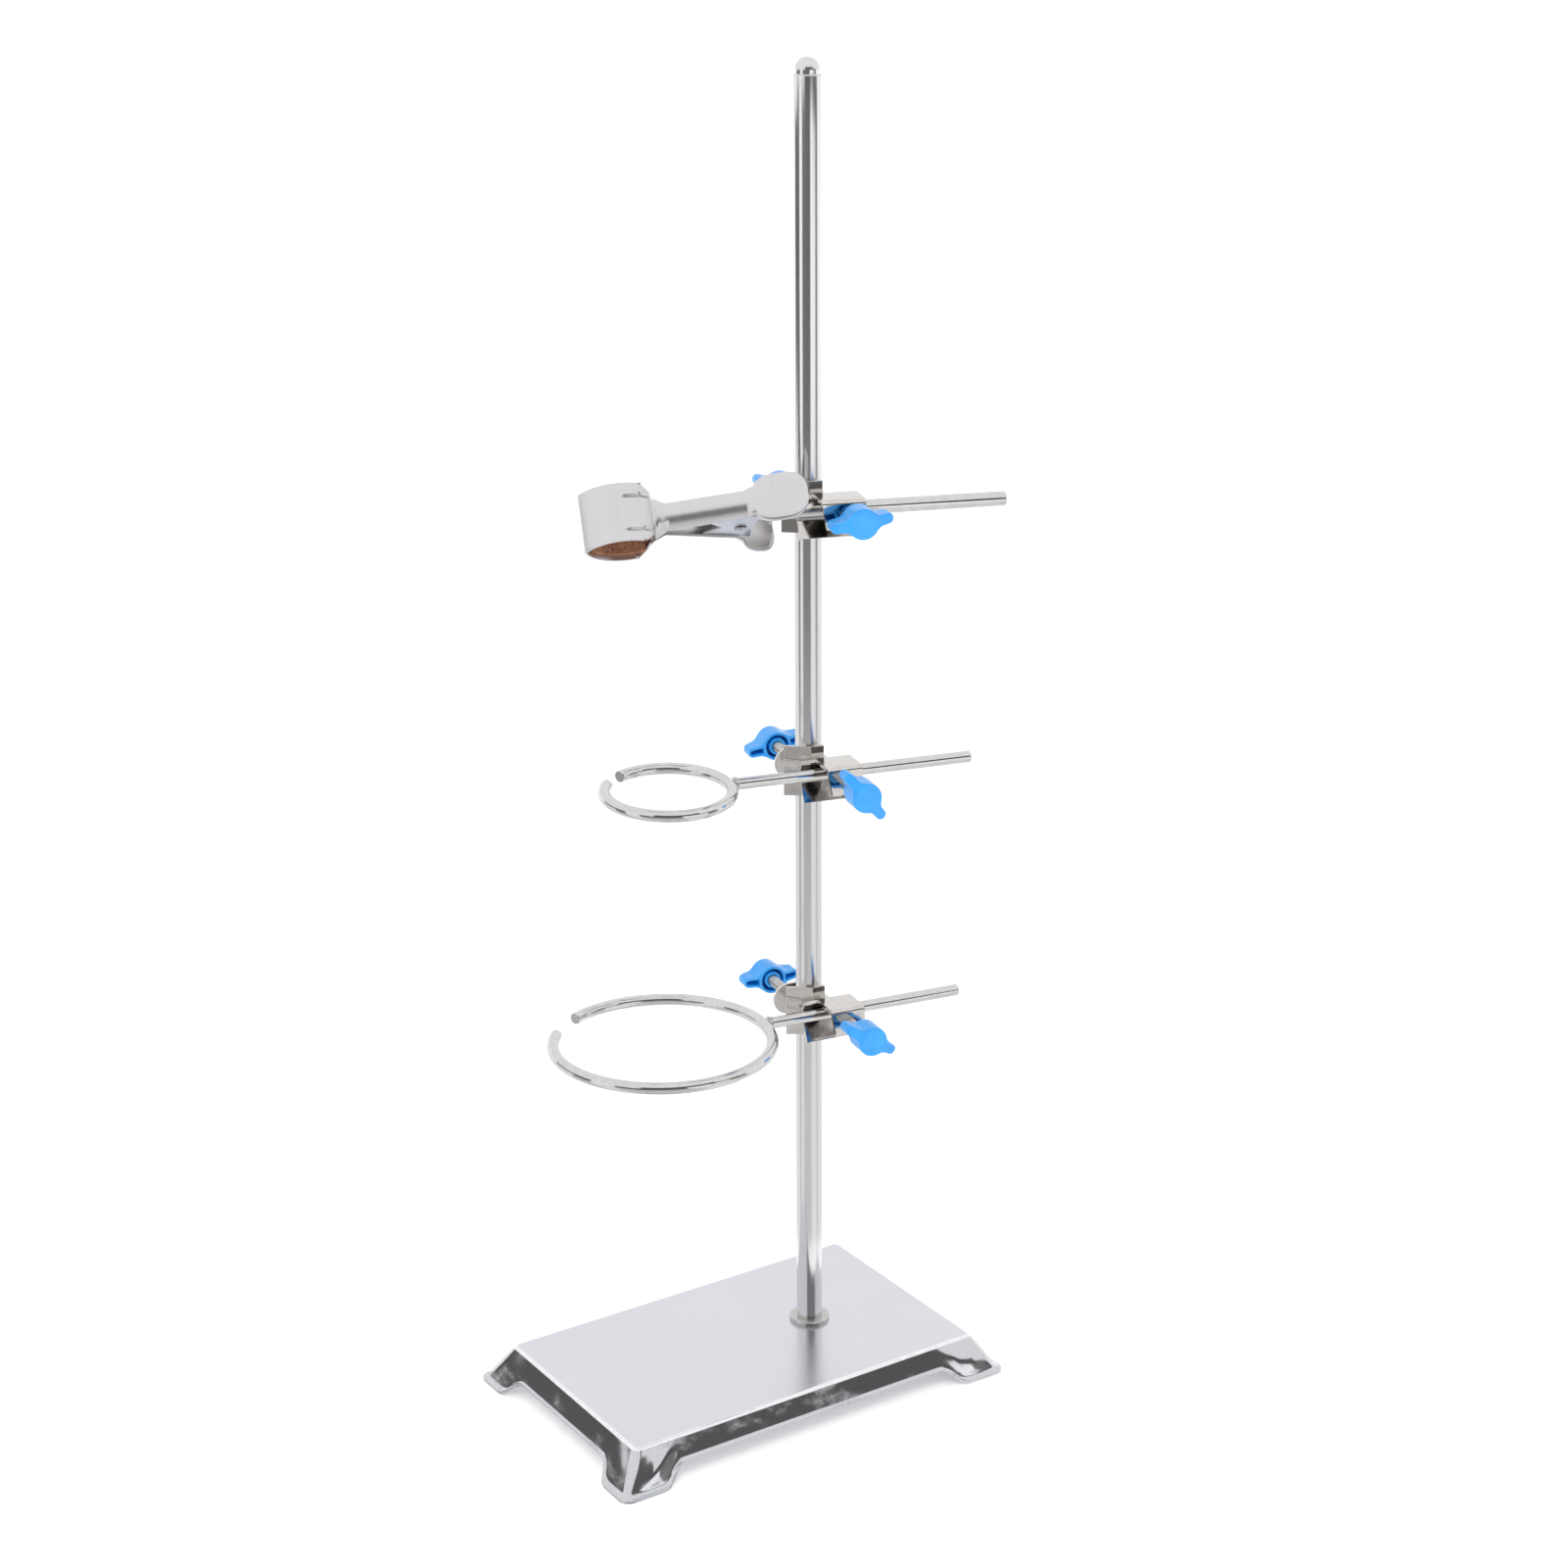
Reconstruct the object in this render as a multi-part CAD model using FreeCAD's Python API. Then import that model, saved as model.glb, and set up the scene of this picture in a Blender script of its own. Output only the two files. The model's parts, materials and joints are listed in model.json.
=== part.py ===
import FreeCAD, Part
import math
import os

V = FreeCAD.Vector

# Retort stand with two support rings and a spring tube clamp. Millimetres, +Z up.
# Origin: centre of the base's footprint, on the bench. X runs along the base's long side.

# ---- base and post ----
TOTAL_HEIGHT = 606.0
BASE_LENGTH = 210.0
BASE_WIDTH = 135.0
BASE_HEIGHT = 18.4
FOOT_LIP = 2.0
TOP_LENGTH = 184.5
TOP_WIDTH = 112.0
TOP_CORNER = 3.0
SKIRT_CORNER = 3.5
LIP_CORNER = 5.5
EDGE_ROUND = 2.0
SHEET = 1.2
SKIRT_BOTTOM = 8.3
FOOT_RUN_X = 26.0
FOOT_RUN_Y = 23.0
ARCH_RADIUS = 5.0

POST_X = 38.0
POST_D = 12.0
POST_TIP_D = 10.4
POST_TIP_H = 6.0
POST_NECK_H = 1.0
POST_SHOULDER_EASE = 0.4
TAIL_D = 8.0
TAIL_HOLE_GAP = 0.2
TAIL_PAST_NUT = 1.6
TURNED_EASE = 0.6
FLANGE_D = 19.0
FLANGE_H = 2.0
WASHER_D = 17.0
WASHER_H = 1.4
NUT_ACROSS_FLATS = 13.0
NUT_H = 4.6
NUT_EASE = 0.8
THREAD_GAP = 0.05

# ---- bosshead, in its own frame: post axis at the origin, rod along X, post screw towards +Y ----
STRIP = 1.8
BEND = 1.0
ROD_GAP = 0.1
SEAT_ANGLE = 25.0
SEAT_FLAT = 1.2
POST_WEB_TOP = 11.6
POST_WEB_BOTTOM = -11.6
POST_WEB_LEFT = -12.0
POST_WEB_RIGHT = 4.6
POST_ARM_TOP = 3.4
POST_RIGHT_WALL = 7.2
POST_EAR_Y = 19.0
POST_EAR_LEFT = -9.0
POST_SCREW_Z = -3.3
ROD_WEB_LEFT = -7.4
ROD_WEB_BOTTOM = -12.0
ROD_TOP_LEFT = -1.0
ROD_TOP_Z = 7.2
ROD_FLANGE_Y = -27.6
ROD_FLANGE_BOTTOM = -5.8
ROD_SLANT_TOP = 0.0
ROD_SLANT_BOTTOM = 2.4
SCREW_D = 5.0
SCREW_EASE = 0.5
SCREW_TIP_GAP = 0.2
POST_KNOB_Y = 41.0

# ---- winged knob, in its own frame: screw axis along +Z, open back at Z = 0 ----
KNOB_DEPTH = 12.0
KNOB_HUB_R = 6.75
KNOB_SPAN = 28.0
KNOB_WING_W = 5.2
KNOB_WING_H = 11.4
KNOB_WING_TIP_H = 9.3
KNOB_WALL = 1.3
KNOB_CORE_R = 3.9
KNOB_GRIP = 8.0
KNOB_POCKET = 5.0
KNOB_CROWN_ROUND = 1.0

# ---- rings ----
WIRE_D = 5.4
GAP_FROM = 34.0
GAP_TO = 57.0
ARM_EASE = 0.6

# ---- spring clamp, in its own frame: pin at the origin along Z, rod towards +X, front at -Y ----
ROD_D = 6.5
ROD_TONGUE_H = 2.8
ROD_TONGUE_FROM = -4.5
ROD_TONGUE_TO = 6.5
ROD_EASE = 0.7
CLAMP_SHEET = 1.0
CLAMP_SPREAD = 15.0
PIN_X = -34.0
PIN_D = 3.0
PIN_HEAD_R = 2.7
PIN_HEAD_H = 1.0
PIN_HEAD_ROUND = 0.6
PIN_PLAY = 0.2
JAW_CENTRE = -51.5
JAW_CHORD = 34.0
JAW_DEPTH = 12.0
JAW_HEIGHT = 26.0
JAW_GAP = 0.4
JAW_ROOT_DEPTH = 1.5
JAW_RIB_Z = 7.5
JAW_RIB_H = 1.4
JAW_RIB_OUT = 0.6
JAW_RIB_FROM = 0.45
LINING = 2.0
LINING_HEIGHT = 22.0
LINING_FROM = 0.12
LINING_TO = 0.8
NECK_HALF_H = 6.2
NECK_DEPTH = 5.2
NECK_START = -38.0
NECK_END = 5.5
NECK_BACK = 0.6
FLARE = 1.45
FLARE_RUN = 6.0
PADDLE_START = 3.0
PADDLE_HALF_L = {"front": 11.4, "rear": 8.6}
PADDLE_HALF_H = 10.5
PADDLE_CORNER = 8.0
PADDLE_RIM = 2.4
PADDLE_EDGE = 0.9
EAR_SHEET = 0.9
EAR_R = 4.6
EAR_LEFT = -15.0
EAR_RIGHT = 7.0
EAR_OVERLAP = 1.5
EAR_LEVEL = {"front": 5.3, "rear": 4.15}
SPRING_WIRE = 0.8
SPRING_R = 3.2
SPRING_TURNS = 1.5
SPRING_PLAY = 0.05
SPRING_COIL_GAP = 0.06
SPRING_LEG = V(9.0, 9.5, 0)

# name: height of the rod on the post, heading of the rod about the post, turn of each knob,
# then the rod's diameter, its channel's end, and where its screw and that screw's knob stand
BOSSES = {
    "clamp_boss": {"z": 416.4, "heading": -19.5, "post_turn": 20.0, "rod_turn": 8.0,
                   "rod_d": ROD_D, "web_right": 18.6, "screw_x": 13.0, "rod_knob_y": -33.0},
    "small_ring_boss": {"z": 296.0, "heading": -13.8, "post_turn": -12.0, "rod_turn": -51.0,
                        "rod_d": WIRE_D, "web_right": 15.4, "screw_x": 8.4, "rod_knob_y": -40.0},
    "large_ring_boss": {"z": 180.3, "heading": -9.6, "post_turn": -2.0, "rod_turn": -32.0,
                        "rod_d": WIRE_D, "web_right": 15.4, "screw_x": 8.4, "rod_knob_y": -40.0},
}
# name: bosshead, ring centre's distance from the post, wire circle's radius, roll, free end of the arm
RINGS = {
    "small_ring": {"boss": "small_ring_boss", "reach": 69.8, "radius": 28.1, "roll": 3.4, "end": 73.3},
    "large_ring": {"boss": "large_ring_boss", "reach": 77.3, "radius": 49.1, "roll": 0.2, "end": 70.3},
}
CLAMP_ROLL = 35.0
CLAMP_ROD_END = 86.0


def save(shape, node):
    """Write one node's solid, and stop if it is not a sound one."""
    if not shape.isValid() or shape.Volume <= 0:
        raise ValueError(node + " is not a valid solid")
    shape.exportStep("parts/" + node + ".step")


def cylinder(radius, start, end):
    """A cylinder between two points."""
    axis = end - start
    return Part.makeCylinder(radius, axis.Length, start, axis)


def ring_disc(outer_r, inner_r, height, base_z):
    """A flat washer standing on base_z, round the Z axis."""
    outer = Part.makeCylinder(outer_r, height, V(0, 0, base_z))
    return outer.cut(Part.makeCylinder(inner_r, height + 2, V(0, 0, base_z - 1)))


def rounded_rectangle(length, width, radius, z):
    """A closed wire, centred on the Z axis."""
    x = length / 2 - radius
    y = width / 2 - radius
    edges = []
    for i, (cx, cy) in enumerate([(x, y), (-x, y), (-x, -y), (x, -y)]):
        start = i * 90
        edges.append(Part.makeCircle(radius, V(cx, cy, z), V(0, 0, 1), start, start + 90))
    wire_edges = []
    for i, arc in enumerate(edges):
        following = edges[(i + 1) % 4]
        wire_edges.append(arc)
        wire_edges.append(Part.makeLine(arc.Vertexes[-1].Point, following.Vertexes[0].Point))
    return Part.Wire(wire_edges)


def rounded_path(points, radii):
    """Edges along a flat open polyline, with an arc of the given radius at each inner corner."""
    edges = []
    start = points[0]
    for corner, radius, before, after in zip(points[1:-1], radii, points[:-2], points[2:]):
        back = (before - corner).normalize()
        ahead = (after - corner).normalize()
        half = back.getAngle(ahead) / 2
        run = radius / math.tan(half)
        middle = corner + (back + ahead).normalize() * (radius / math.sin(half) - radius)
        enter = corner + back * run
        leave = corner + ahead * run
        edges.append(Part.makeLine(start, enter))
        edges.append(Part.Arc(enter, middle, leave).toShape())
        start = leave
    edges.append(Part.makeLine(start, points[-1]))
    return edges


def bent_strip(points, thickness, bend, normal):
    """The face of a bent sheet's edge: points follow one side, thickness goes to the left of it."""
    sides = [(b - a).normalize() for a, b in zip(points[:-1], points[1:])]
    lefts = [normal.cross(s) for s in sides]
    offset = [points[0] + lefts[0] * thickness]
    near = []
    far = []
    for corner, first, second in zip(points[1:-1], lefts[:-1], lefts[1:]):
        offset.append(corner + (first + second) * (thickness / (1 + first.dot(second))))
        turns_left = normal.dot(first.cross(second)) > 0
        near.append(bend + thickness if turns_left else bend)
        far.append(bend if turns_left else bend + thickness)
    offset.append(points[-1] + lefts[-1] * thickness)
    one = rounded_path(points, near)
    other = rounded_path(offset, far)
    caps = [Part.makeLine(points[-1], offset[-1]), Part.makeLine(points[0], offset[0])]
    return Part.Face(Part.Wire(Part.__sortEdges__(one + caps + other)))


# ---------------------------------------------------------------- base
def base_block(inset, height):
    """The pressed tray's form, drawn in by inset on every side."""
    skirt_length = BASE_LENGTH - 2 * FOOT_LIP - 2 * inset
    skirt_width = BASE_WIDTH - 2 * FOOT_LIP - 2 * inset
    bottom = rounded_rectangle(skirt_length, skirt_width, SKIRT_CORNER - inset, 0)
    top = rounded_rectangle(TOP_LENGTH - 2 * inset, TOP_WIDTH - 2 * inset, TOP_CORNER - inset, height)
    block = Part.makeLoft([bottom, top], True, True)
    rim = [e for e in block.Edges if all(abs(v.Z - height) < 0.01 for v in e.Vertexes)]
    return block.makeFillet(EDGE_ROUND - inset, rim)


def arch(half_width, depth):
    """A cutter for the opening under one pair of skirts, running along Y."""
    box = Part.makeBox(2 * half_width, depth, SKIRT_BOTTOM + 5, V(-half_width, -depth / 2, -5))
    corners = [e for e in box.Edges
               if all(abs(v.Z - SKIRT_BOTTOM) < 0.01 for v in e.Vertexes)
               and abs(e.Vertexes[0].X - e.Vertexes[1].X) < 0.01]
    return box.makeFillet(ARCH_RADIUS, corners)


def make_base():
    tray = base_block(0, BASE_HEIGHT).cut(base_block(SHEET, BASE_HEIGHT - SHEET))
    lip = Part.Face(rounded_rectangle(BASE_LENGTH, BASE_WIDTH, LIP_CORNER, 0))
    inset = 2 * (FOOT_LIP + SHEET)
    inside = rounded_rectangle(BASE_LENGTH - inset, BASE_WIDTH - inset, SKIRT_CORNER - SHEET, 0)
    lip = lip.cut(Part.Face(inside)).extrude(V(0, 0, SHEET))
    tray = tray.fuse(lip)
    long_arch = arch(BASE_LENGTH / 2 - FOOT_RUN_X, BASE_WIDTH + 20)
    side_arch = arch(BASE_WIDTH / 2 - FOOT_RUN_Y, BASE_LENGTH + 20)
    side_arch.rotate(V(0, 0, 0), V(0, 0, 1), 90)
    hole = Part.makeCylinder(TAIL_D / 2 + TAIL_HOLE_GAP, BASE_HEIGHT, V(POST_X, 0, BASE_HEIGHT / 2))
    return tray.cut(long_arch).cut(side_arch).cut(hole).removeSplitter()


# ---------------------------------------------------------------- post
def make_post():
    """Turned rod: threaded tail through the base, plain shank, domed tip behind a small shoulder."""
    seat = BASE_HEIGHT + FLANGE_H
    tail = BASE_HEIGHT - SHEET - WASHER_H - NUT_H - TAIL_PAST_NUT
    neck_top = TOTAL_HEIGHT - POST_TIP_H
    shank_top = neck_top - POST_NECK_H
    r = POST_D / 2
    tip_r = POST_TIP_D / 2
    profile = [V(0, 0, tail), V(TAIL_D / 2 - TURNED_EASE, 0, tail), V(TAIL_D / 2, 0, tail + TURNED_EASE),
               V(TAIL_D / 2, 0, seat), V(r, 0, seat), V(r, 0, shank_top - TURNED_EASE),
               V(r - POST_SHOULDER_EASE, 0, shank_top), V(tip_r, 0, shank_top), V(tip_r, 0, neck_top),
               V(0, 0, neck_top), V(0, 0, tail)]
    edges = [Part.makeLine(a, b) for a, b in zip(profile[:-1], profile[1:])]
    post = Part.Face(Part.Wire(edges)).revolve(V(0, 0, 0), V(0, 0, 1), 360)
    dome_r = (tip_r ** 2 + POST_TIP_H ** 2) / (2 * POST_TIP_H)
    post = post.fuse(Part.makeSphere(dome_r, V(0, 0, TOTAL_HEIGHT - dome_r)))
    post.translate(V(POST_X, 0, 0))
    return post


def make_post_flange():
    washer = ring_disc(FLANGE_D / 2, TAIL_D / 2 + THREAD_GAP, FLANGE_H, BASE_HEIGHT)
    rim = [e for e in washer.Edges if abs(e.BoundBox.ZMin - BASE_HEIGHT - FLANGE_H) < 0.01
           and e.BoundBox.XLength > FLANGE_D - 0.1]
    washer = washer.makeFillet(TURNED_EASE, rim)
    washer.translate(V(POST_X, 0, 0))
    return washer


def make_under_washer():
    washer = ring_disc(WASHER_D / 2, TAIL_D / 2 + THREAD_GAP, WASHER_H, BASE_HEIGHT - SHEET - WASHER_H)
    washer.translate(V(POST_X, 0, 0))
    return washer


def make_under_nut():
    top = BASE_HEIGHT - SHEET - WASHER_H
    corner_r = NUT_ACROSS_FLATS / 2 / math.cos(math.radians(30))
    corners = [V(corner_r * math.cos(math.radians(60 * i)), corner_r * math.sin(math.radians(60 * i)),
                 top - NUT_H) for i in range(7)]
    nut = Part.Face(Part.makePolygon(corners)).extrude(V(0, 0, NUT_H))
    chamfer = Part.makeCone(corner_r - NUT_EASE, corner_r - NUT_EASE + NUT_H, NUT_H, V(0, 0, top - NUT_H))
    nut = nut.common(chamfer)
    nut = nut.cut(Part.makeCylinder(TAIL_D / 2 + THREAD_GAP, NUT_H + 2, V(0, 0, top - NUT_H - 1)))
    nut.translate(V(POST_X, 0, 0))
    return nut


# ---------------------------------------------------------------- bosshead
def screw_hole(start, end):
    return cylinder(SCREW_D / 2 + THREAD_GAP, start, end)


def make_post_channel():
    """Sheet strip round the post: seat in front, wall on the right, ear with the screw behind."""
    tilt = math.tan(math.radians(SEAT_ANGLE))
    front = -POST_D / 2 - THREAD_GAP
    ridge = front * math.tan(math.radians(SEAT_ANGLE / 2))
    seat = [V(POST_WEB_LEFT, front - (POST_WEB_LEFT - ridge) * tilt, 0), V(ridge, front, 0)]
    up = V(0, 0, 1)
    web = bent_strip([V(POST_WEB_RIGHT, front, 0), seat[1], seat[0]], STRIP, BEND, up)
    web = web.extrude(V(0, 0, POST_WEB_TOP - POST_WEB_BOTTOM))
    web.translate(V(0, 0, POST_WEB_BOTTOM))
    around = [V(POST_EAR_LEFT, POST_EAR_Y, 0), V(POST_RIGHT_WALL, POST_EAR_Y, 0),
              V(POST_RIGHT_WALL, front, 0), seat[1], seat[0]]
    arm = bent_strip(around, STRIP, BEND, up)
    arm = arm.extrude(V(0, 0, POST_ARM_TOP - POST_WEB_BOTTOM))
    arm.translate(V(0, 0, POST_WEB_BOTTOM))
    ear_r = (POST_ARM_TOP - POST_WEB_BOTTOM) / 2
    ear_z = (POST_ARM_TOP + POST_WEB_BOTTOM) / 2
    corner = Part.makeBox(ear_r, 6, 2 * ear_r, V(POST_EAR_LEFT, POST_EAR_Y - 2, POST_WEB_BOTTOM))
    round_end = Part.makeCylinder(ear_r, 6, V(POST_EAR_LEFT + ear_r, POST_EAR_Y - 2, ear_z), V(0, 1, 0))
    arm = arm.cut(corner.cut(round_end))
    channel = web.fuse(arm)
    hole = screw_hole(V(0, POST_EAR_Y - 3, POST_SCREW_Z), V(0, POST_EAR_Y + 5, POST_SCREW_Z))
    return channel.cut(hole).removeSplitter()


def make_rod_channel(boss):
    """Sheet strip over the rod: seat behind it, plate on top, flange with the screw in front."""
    tilt = math.tan(math.radians(SEAT_ANGLE))
    back = -POST_D / 2 - THREAD_GAP - 2 * STRIP
    top = ROD_TOP_Z - STRIP
    lean_bottom = back - (-ROD_WEB_BOTTOM - SEAT_FLAT) * tilt
    lean_top = back - (top - SEAT_FLAT) * tilt
    seat = [V(0, lean_bottom, ROD_WEB_BOTTOM), V(0, back, -SEAT_FLAT), V(0, back, SEAT_FLAT),
            V(0, lean_top, top)]
    along = V(1, 0, 0)
    web = bent_strip([seat[3], seat[2], seat[1], seat[0]], STRIP, BEND / 2, along)
    web = web.extrude(V(boss["web_right"] - ROD_WEB_LEFT, 0, 0))
    web.translate(V(ROD_WEB_LEFT, 0, 0))
    inner_flange = ROD_FLANGE_Y + STRIP
    over = [V(0, inner_flange, ROD_FLANGE_BOTTOM), V(0, inner_flange, top), V(0, lean_top, top),
            V(0, back, SEAT_FLAT), V(0, back, -SEAT_FLAT)]
    arm = bent_strip(over, STRIP, BEND / 2, along)
    arm = arm.extrude(V(boss["web_right"] - ROD_TOP_LEFT, 0, 0))
    arm.translate(V(ROD_TOP_LEFT, 0, 0))
    channel = web.fuse(arm)
    before = ROD_FLANGE_Y - 1
    outside = ROD_TOP_LEFT - 1
    slant = Part.Face(Part.makePolygon([V(outside, before, ROD_FLANGE_BOTTOM),
                                        V(ROD_TOP_LEFT + ROD_SLANT_BOTTOM, before, ROD_FLANGE_BOTTOM),
                                        V(ROD_TOP_LEFT + ROD_SLANT_TOP, before, ROD_TOP_Z),
                                        V(outside, before, ROD_TOP_Z),
                                        V(outside, before, ROD_FLANGE_BOTTOM)]))
    channel = channel.cut(slant.extrude(V(0, STRIP + 2, 0)))
    hole = screw_hole(V(boss["screw_x"], ROD_FLANGE_Y - 3, 0), V(boss["screw_x"], ROD_FLANGE_Y + 5, 0))
    return channel.cut(hole).removeSplitter()


def make_screw(length):
    """Screw shank along +Z with its tip at the origin."""
    shank = Part.makeCylinder(SCREW_D / 2, length)
    ends = [e for e in shank.Edges if len(e.Vertexes) == 1]
    return shank.makeChamfer(SCREW_EASE, ends)


def wing_outline(inset):
    """Outline of the knob's two wings, drawn in by inset, as a closed face."""
    tip_r = KNOB_WING_W / 2 - inset
    reach = KNOB_SPAN / 2 - KNOB_WING_W / 2
    slot = Part.makeBox(2 * reach, 2 * tip_r, 1, V(-reach, -tip_r, 0))
    slot = slot.fuse([Part.makeCylinder(tip_r, 1, V(-reach, 0, 0)),
                      Part.makeCylinder(tip_r, 1, V(reach, 0, 0))])
    return slot.removeSplitter()


def stretch(shape, height):
    """Scale a one-millimetre plate up to the given height."""
    matrix = FreeCAD.Matrix()
    matrix.scale(1, 1, height)
    return shape.transformGeometry(matrix)


def make_knob():
    """Moulded wing knob: round hub, two wings that fall away to their tips, hollow back."""
    wings = stretch(wing_outline(0), KNOB_DEPTH)
    slope = (KNOB_WING_H - KNOB_WING_TIP_H) / (KNOB_SPAN / 2 - KNOB_HUB_R)
    for side in (1, -1):
        inner = V(side * (KNOB_HUB_R - 2), -KNOB_WING_W, KNOB_WING_H + 2 * slope)
        outer = V(side * (KNOB_SPAN / 2 + 3), -KNOB_WING_W, KNOB_WING_TIP_H - 3 * slope)
        over = [V(p.x, p.y, KNOB_DEPTH + 1) for p in (outer, inner)]
        wedge = Part.Face(Part.makePolygon([inner, outer, over[0], over[1], inner]))
        wings = wings.cut(wedge.extrude(V(0, 2 * KNOB_WING_W, 0)))
    hub = Part.makeCylinder(KNOB_HUB_R, KNOB_DEPTH)
    crown = [e for e in hub.Edges if abs(e.BoundBox.ZMin - KNOB_DEPTH) < 0.01]
    hub = hub.makeFillet(KNOB_CROWN_ROUND, crown)
    knob = hub.fuse(wings).removeSplitter()
    cavity = Part.makeCylinder(KNOB_HUB_R - KNOB_WALL, KNOB_GRIP)
    cavity = cavity.cut(Part.makeCylinder(KNOB_CORE_R, KNOB_GRIP))
    pockets = stretch(wing_outline(KNOB_WALL), KNOB_POCKET)
    pockets = pockets.cut(Part.makeCylinder(KNOB_HUB_R, KNOB_POCKET))
    socket = Part.makeCylinder(SCREW_D / 2 + THREAD_GAP, KNOB_GRIP + THREAD_GAP)
    return knob.cut(cavity).cut(pockets).cut(socket)


def screw_and_knob(tip, direction, knob_seat, turn):
    """A thumbscrew: the shank from tip into the knob, whose open back stands at knob_seat."""
    length = (knob_seat - tip).Length + KNOB_GRIP
    screw = make_screw(length)
    knob = make_knob()
    knob.rotate(V(0, 0, 0), V(0, 0, 1), turn)
    knob.translate(V(0, 0, length - KNOB_GRIP))
    turn_to = FreeCAD.Rotation(V(0, 0, 1), direction)
    for piece in (screw, knob):
        piece.Placement = FreeCAD.Placement(tip, turn_to).multiply(piece.Placement)
    return screw, knob


def onto_post(shape, boss):
    """Move a shape from a bosshead's own frame to its place on the post."""
    shape.rotate(V(0, 0, 0), V(0, 0, 1), boss["heading"])
    shape.translate(V(POST_X, 0, boss["z"]))
    return shape


def rod_y(boss):
    """Where the rod's axis lies in its bosshead's frame: against the flat of the seat."""
    return -POST_D / 2 - THREAD_GAP - 2 * STRIP - boss["rod_d"] / 2 - ROD_GAP


def make_boss(name, boss):
    rod_front = rod_y(boss) - boss["rod_d"] / 2 - SCREW_TIP_GAP
    post_back = POST_D / 2 + SCREW_TIP_GAP
    pieces = {"post_channel": make_post_channel(), "rod_channel": make_rod_channel(boss)}
    pieces["post_screw"], pieces["post_knob"] = screw_and_knob(
        V(0, post_back, POST_SCREW_Z), V(0, 1, 0), V(0, POST_KNOB_Y, POST_SCREW_Z), boss["post_turn"])
    pieces["rod_screw"], pieces["rod_knob"] = screw_and_knob(
        V(boss["screw_x"], rod_front, 0), V(0, -1, 0), V(boss["screw_x"], boss["rod_knob_y"], 0),
        boss["rod_turn"])
    for piece, shape in pieces.items():
        save(onto_post(shape, boss), name + "_" + piece)


# ---------------------------------------------------------------- rings
def make_ring(name, ring):
    """An open wire hoop welded to a straight arm."""
    boss = BOSSES[ring["boss"]]
    r = WIRE_D / 2
    start = 180 - GAP_FROM
    section = Part.makeCircle(r, V(ring["radius"], 0, 0), V(0, 1, 0))
    hoop = Part.Face(Part.Wire(section)).revolve(V(0, 0, 0), V(0, 0, 1), 360 - (GAP_TO - GAP_FROM))
    hoop.rotate(V(0, 0, 0), V(0, 0, 1), start)
    hoop.translate(V(-ring["reach"], 0, 0))
    weld = -ring["reach"] + ring["radius"]
    arm = Part.makeCylinder(r, ring["end"] - weld, V(weld, 0, 0), V(1, 0, 0))
    tip = [e for e in arm.Edges if len(e.Vertexes) == 1 and abs(e.BoundBox.XMin - ring["end"]) < 0.01]
    arm = arm.makeChamfer(ARM_EASE, tip).cut(hoop)
    for shape, piece in ((hoop, "hoop"), (arm, "arm")):
        shape.rotate(V(0, 0, 0), V(1, 0, 0), ring["roll"])
        shape.translate(V(0, rod_y(boss), 0))
        save(onto_post(shape, boss), name + "_" + piece)


# ---------------------------------------------------------------- spring clamp
JAW_TIP = V(JAW_CENTRE - JAW_CHORD / 2, -JAW_GAP, 0)
JAW_CROWN = V(JAW_CENTRE, -JAW_GAP - JAW_DEPTH, 0)
JAW_ROOT = V(JAW_CENTRE + JAW_CHORD / 2, -JAW_GAP - JAW_ROOT_DEPTH, 0)


def jaw_circle():
    """Centre and radius of the front jaw's outer face."""
    circle = Part.Arc(JAW_TIP, JAW_CROWN, JAW_ROOT).toShape().Curve
    return circle.Center, circle.Radius


def jaw_shell(outer_inset, thickness, height, start, end):
    """A curved plate on the jaw's circle; start and end are shares of the way from tip to root."""
    centre, radius = jaw_circle()
    first = math.atan2(JAW_TIP.y - centre.y, JAW_TIP.x - centre.x) % (2 * math.pi)
    last = math.atan2(JAW_ROOT.y - centre.y, JAW_ROOT.x - centre.x) % (2 * math.pi)
    span = [first + (last - first) * share for share in (start, (start + end) / 2, end)]
    rings = []
    for r in (radius - outer_inset, radius - outer_inset - thickness):
        rings.append([centre + V(r * math.cos(a), r * math.sin(a), 0) for a in span])
    outer, inner = rings
    edges = [Part.Arc(*outer).toShape(), Part.makeLine(outer[2], inner[2]),
             Part.Arc(inner[2], inner[1], inner[0]).toShape(), Part.makeLine(inner[0], outer[0])]
    shell = Part.Face(Part.Wire(edges)).extrude(V(0, 0, height))
    shell.translate(V(0, 0, -height / 2))
    return shell


def neck_section(x, half_height, depth):
    """Closed D-shaped wire across the neck at x: flat side on Y = 0, crown towards -Y."""
    low = V(x, 0, -half_height)
    high = V(x, 0, half_height)
    return Part.Wire([Part.Arc(low, V(x, -depth, 0), high).toShape(), Part.makeLine(high, low)])


def neck_solid(inset):
    """The flared half tube's form, filled, drawn in by inset."""
    stations = [(NECK_START, FLARE), (NECK_START + FLARE_RUN, 1.0)]
    sections = [neck_section(x, NECK_HALF_H * k - inset, NECK_DEPTH * k - inset) for x, k in stations]
    flare = Part.makeLoft(sections, True, True)
    face = Part.Face(neck_section(NECK_START + FLARE_RUN, NECK_HALF_H - inset, NECK_DEPTH - inset))
    return flare.fuse(face.extrude(V(NECK_END - NECK_START - FLARE_RUN, 0, 0)))


def paddle_face(half_length, inset):
    length = 2 * (half_length - inset)
    height = 2 * (PADDLE_HALF_H - inset)
    face = Part.Face(rounded_rectangle(length, height, PADDLE_CORNER - inset, 0))
    face.rotate(V(0, 0, 0), V(1, 0, 0), 90)
    face.translate(V(PADDLE_START + half_length, -NECK_DEPTH, 0))
    return face


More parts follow.
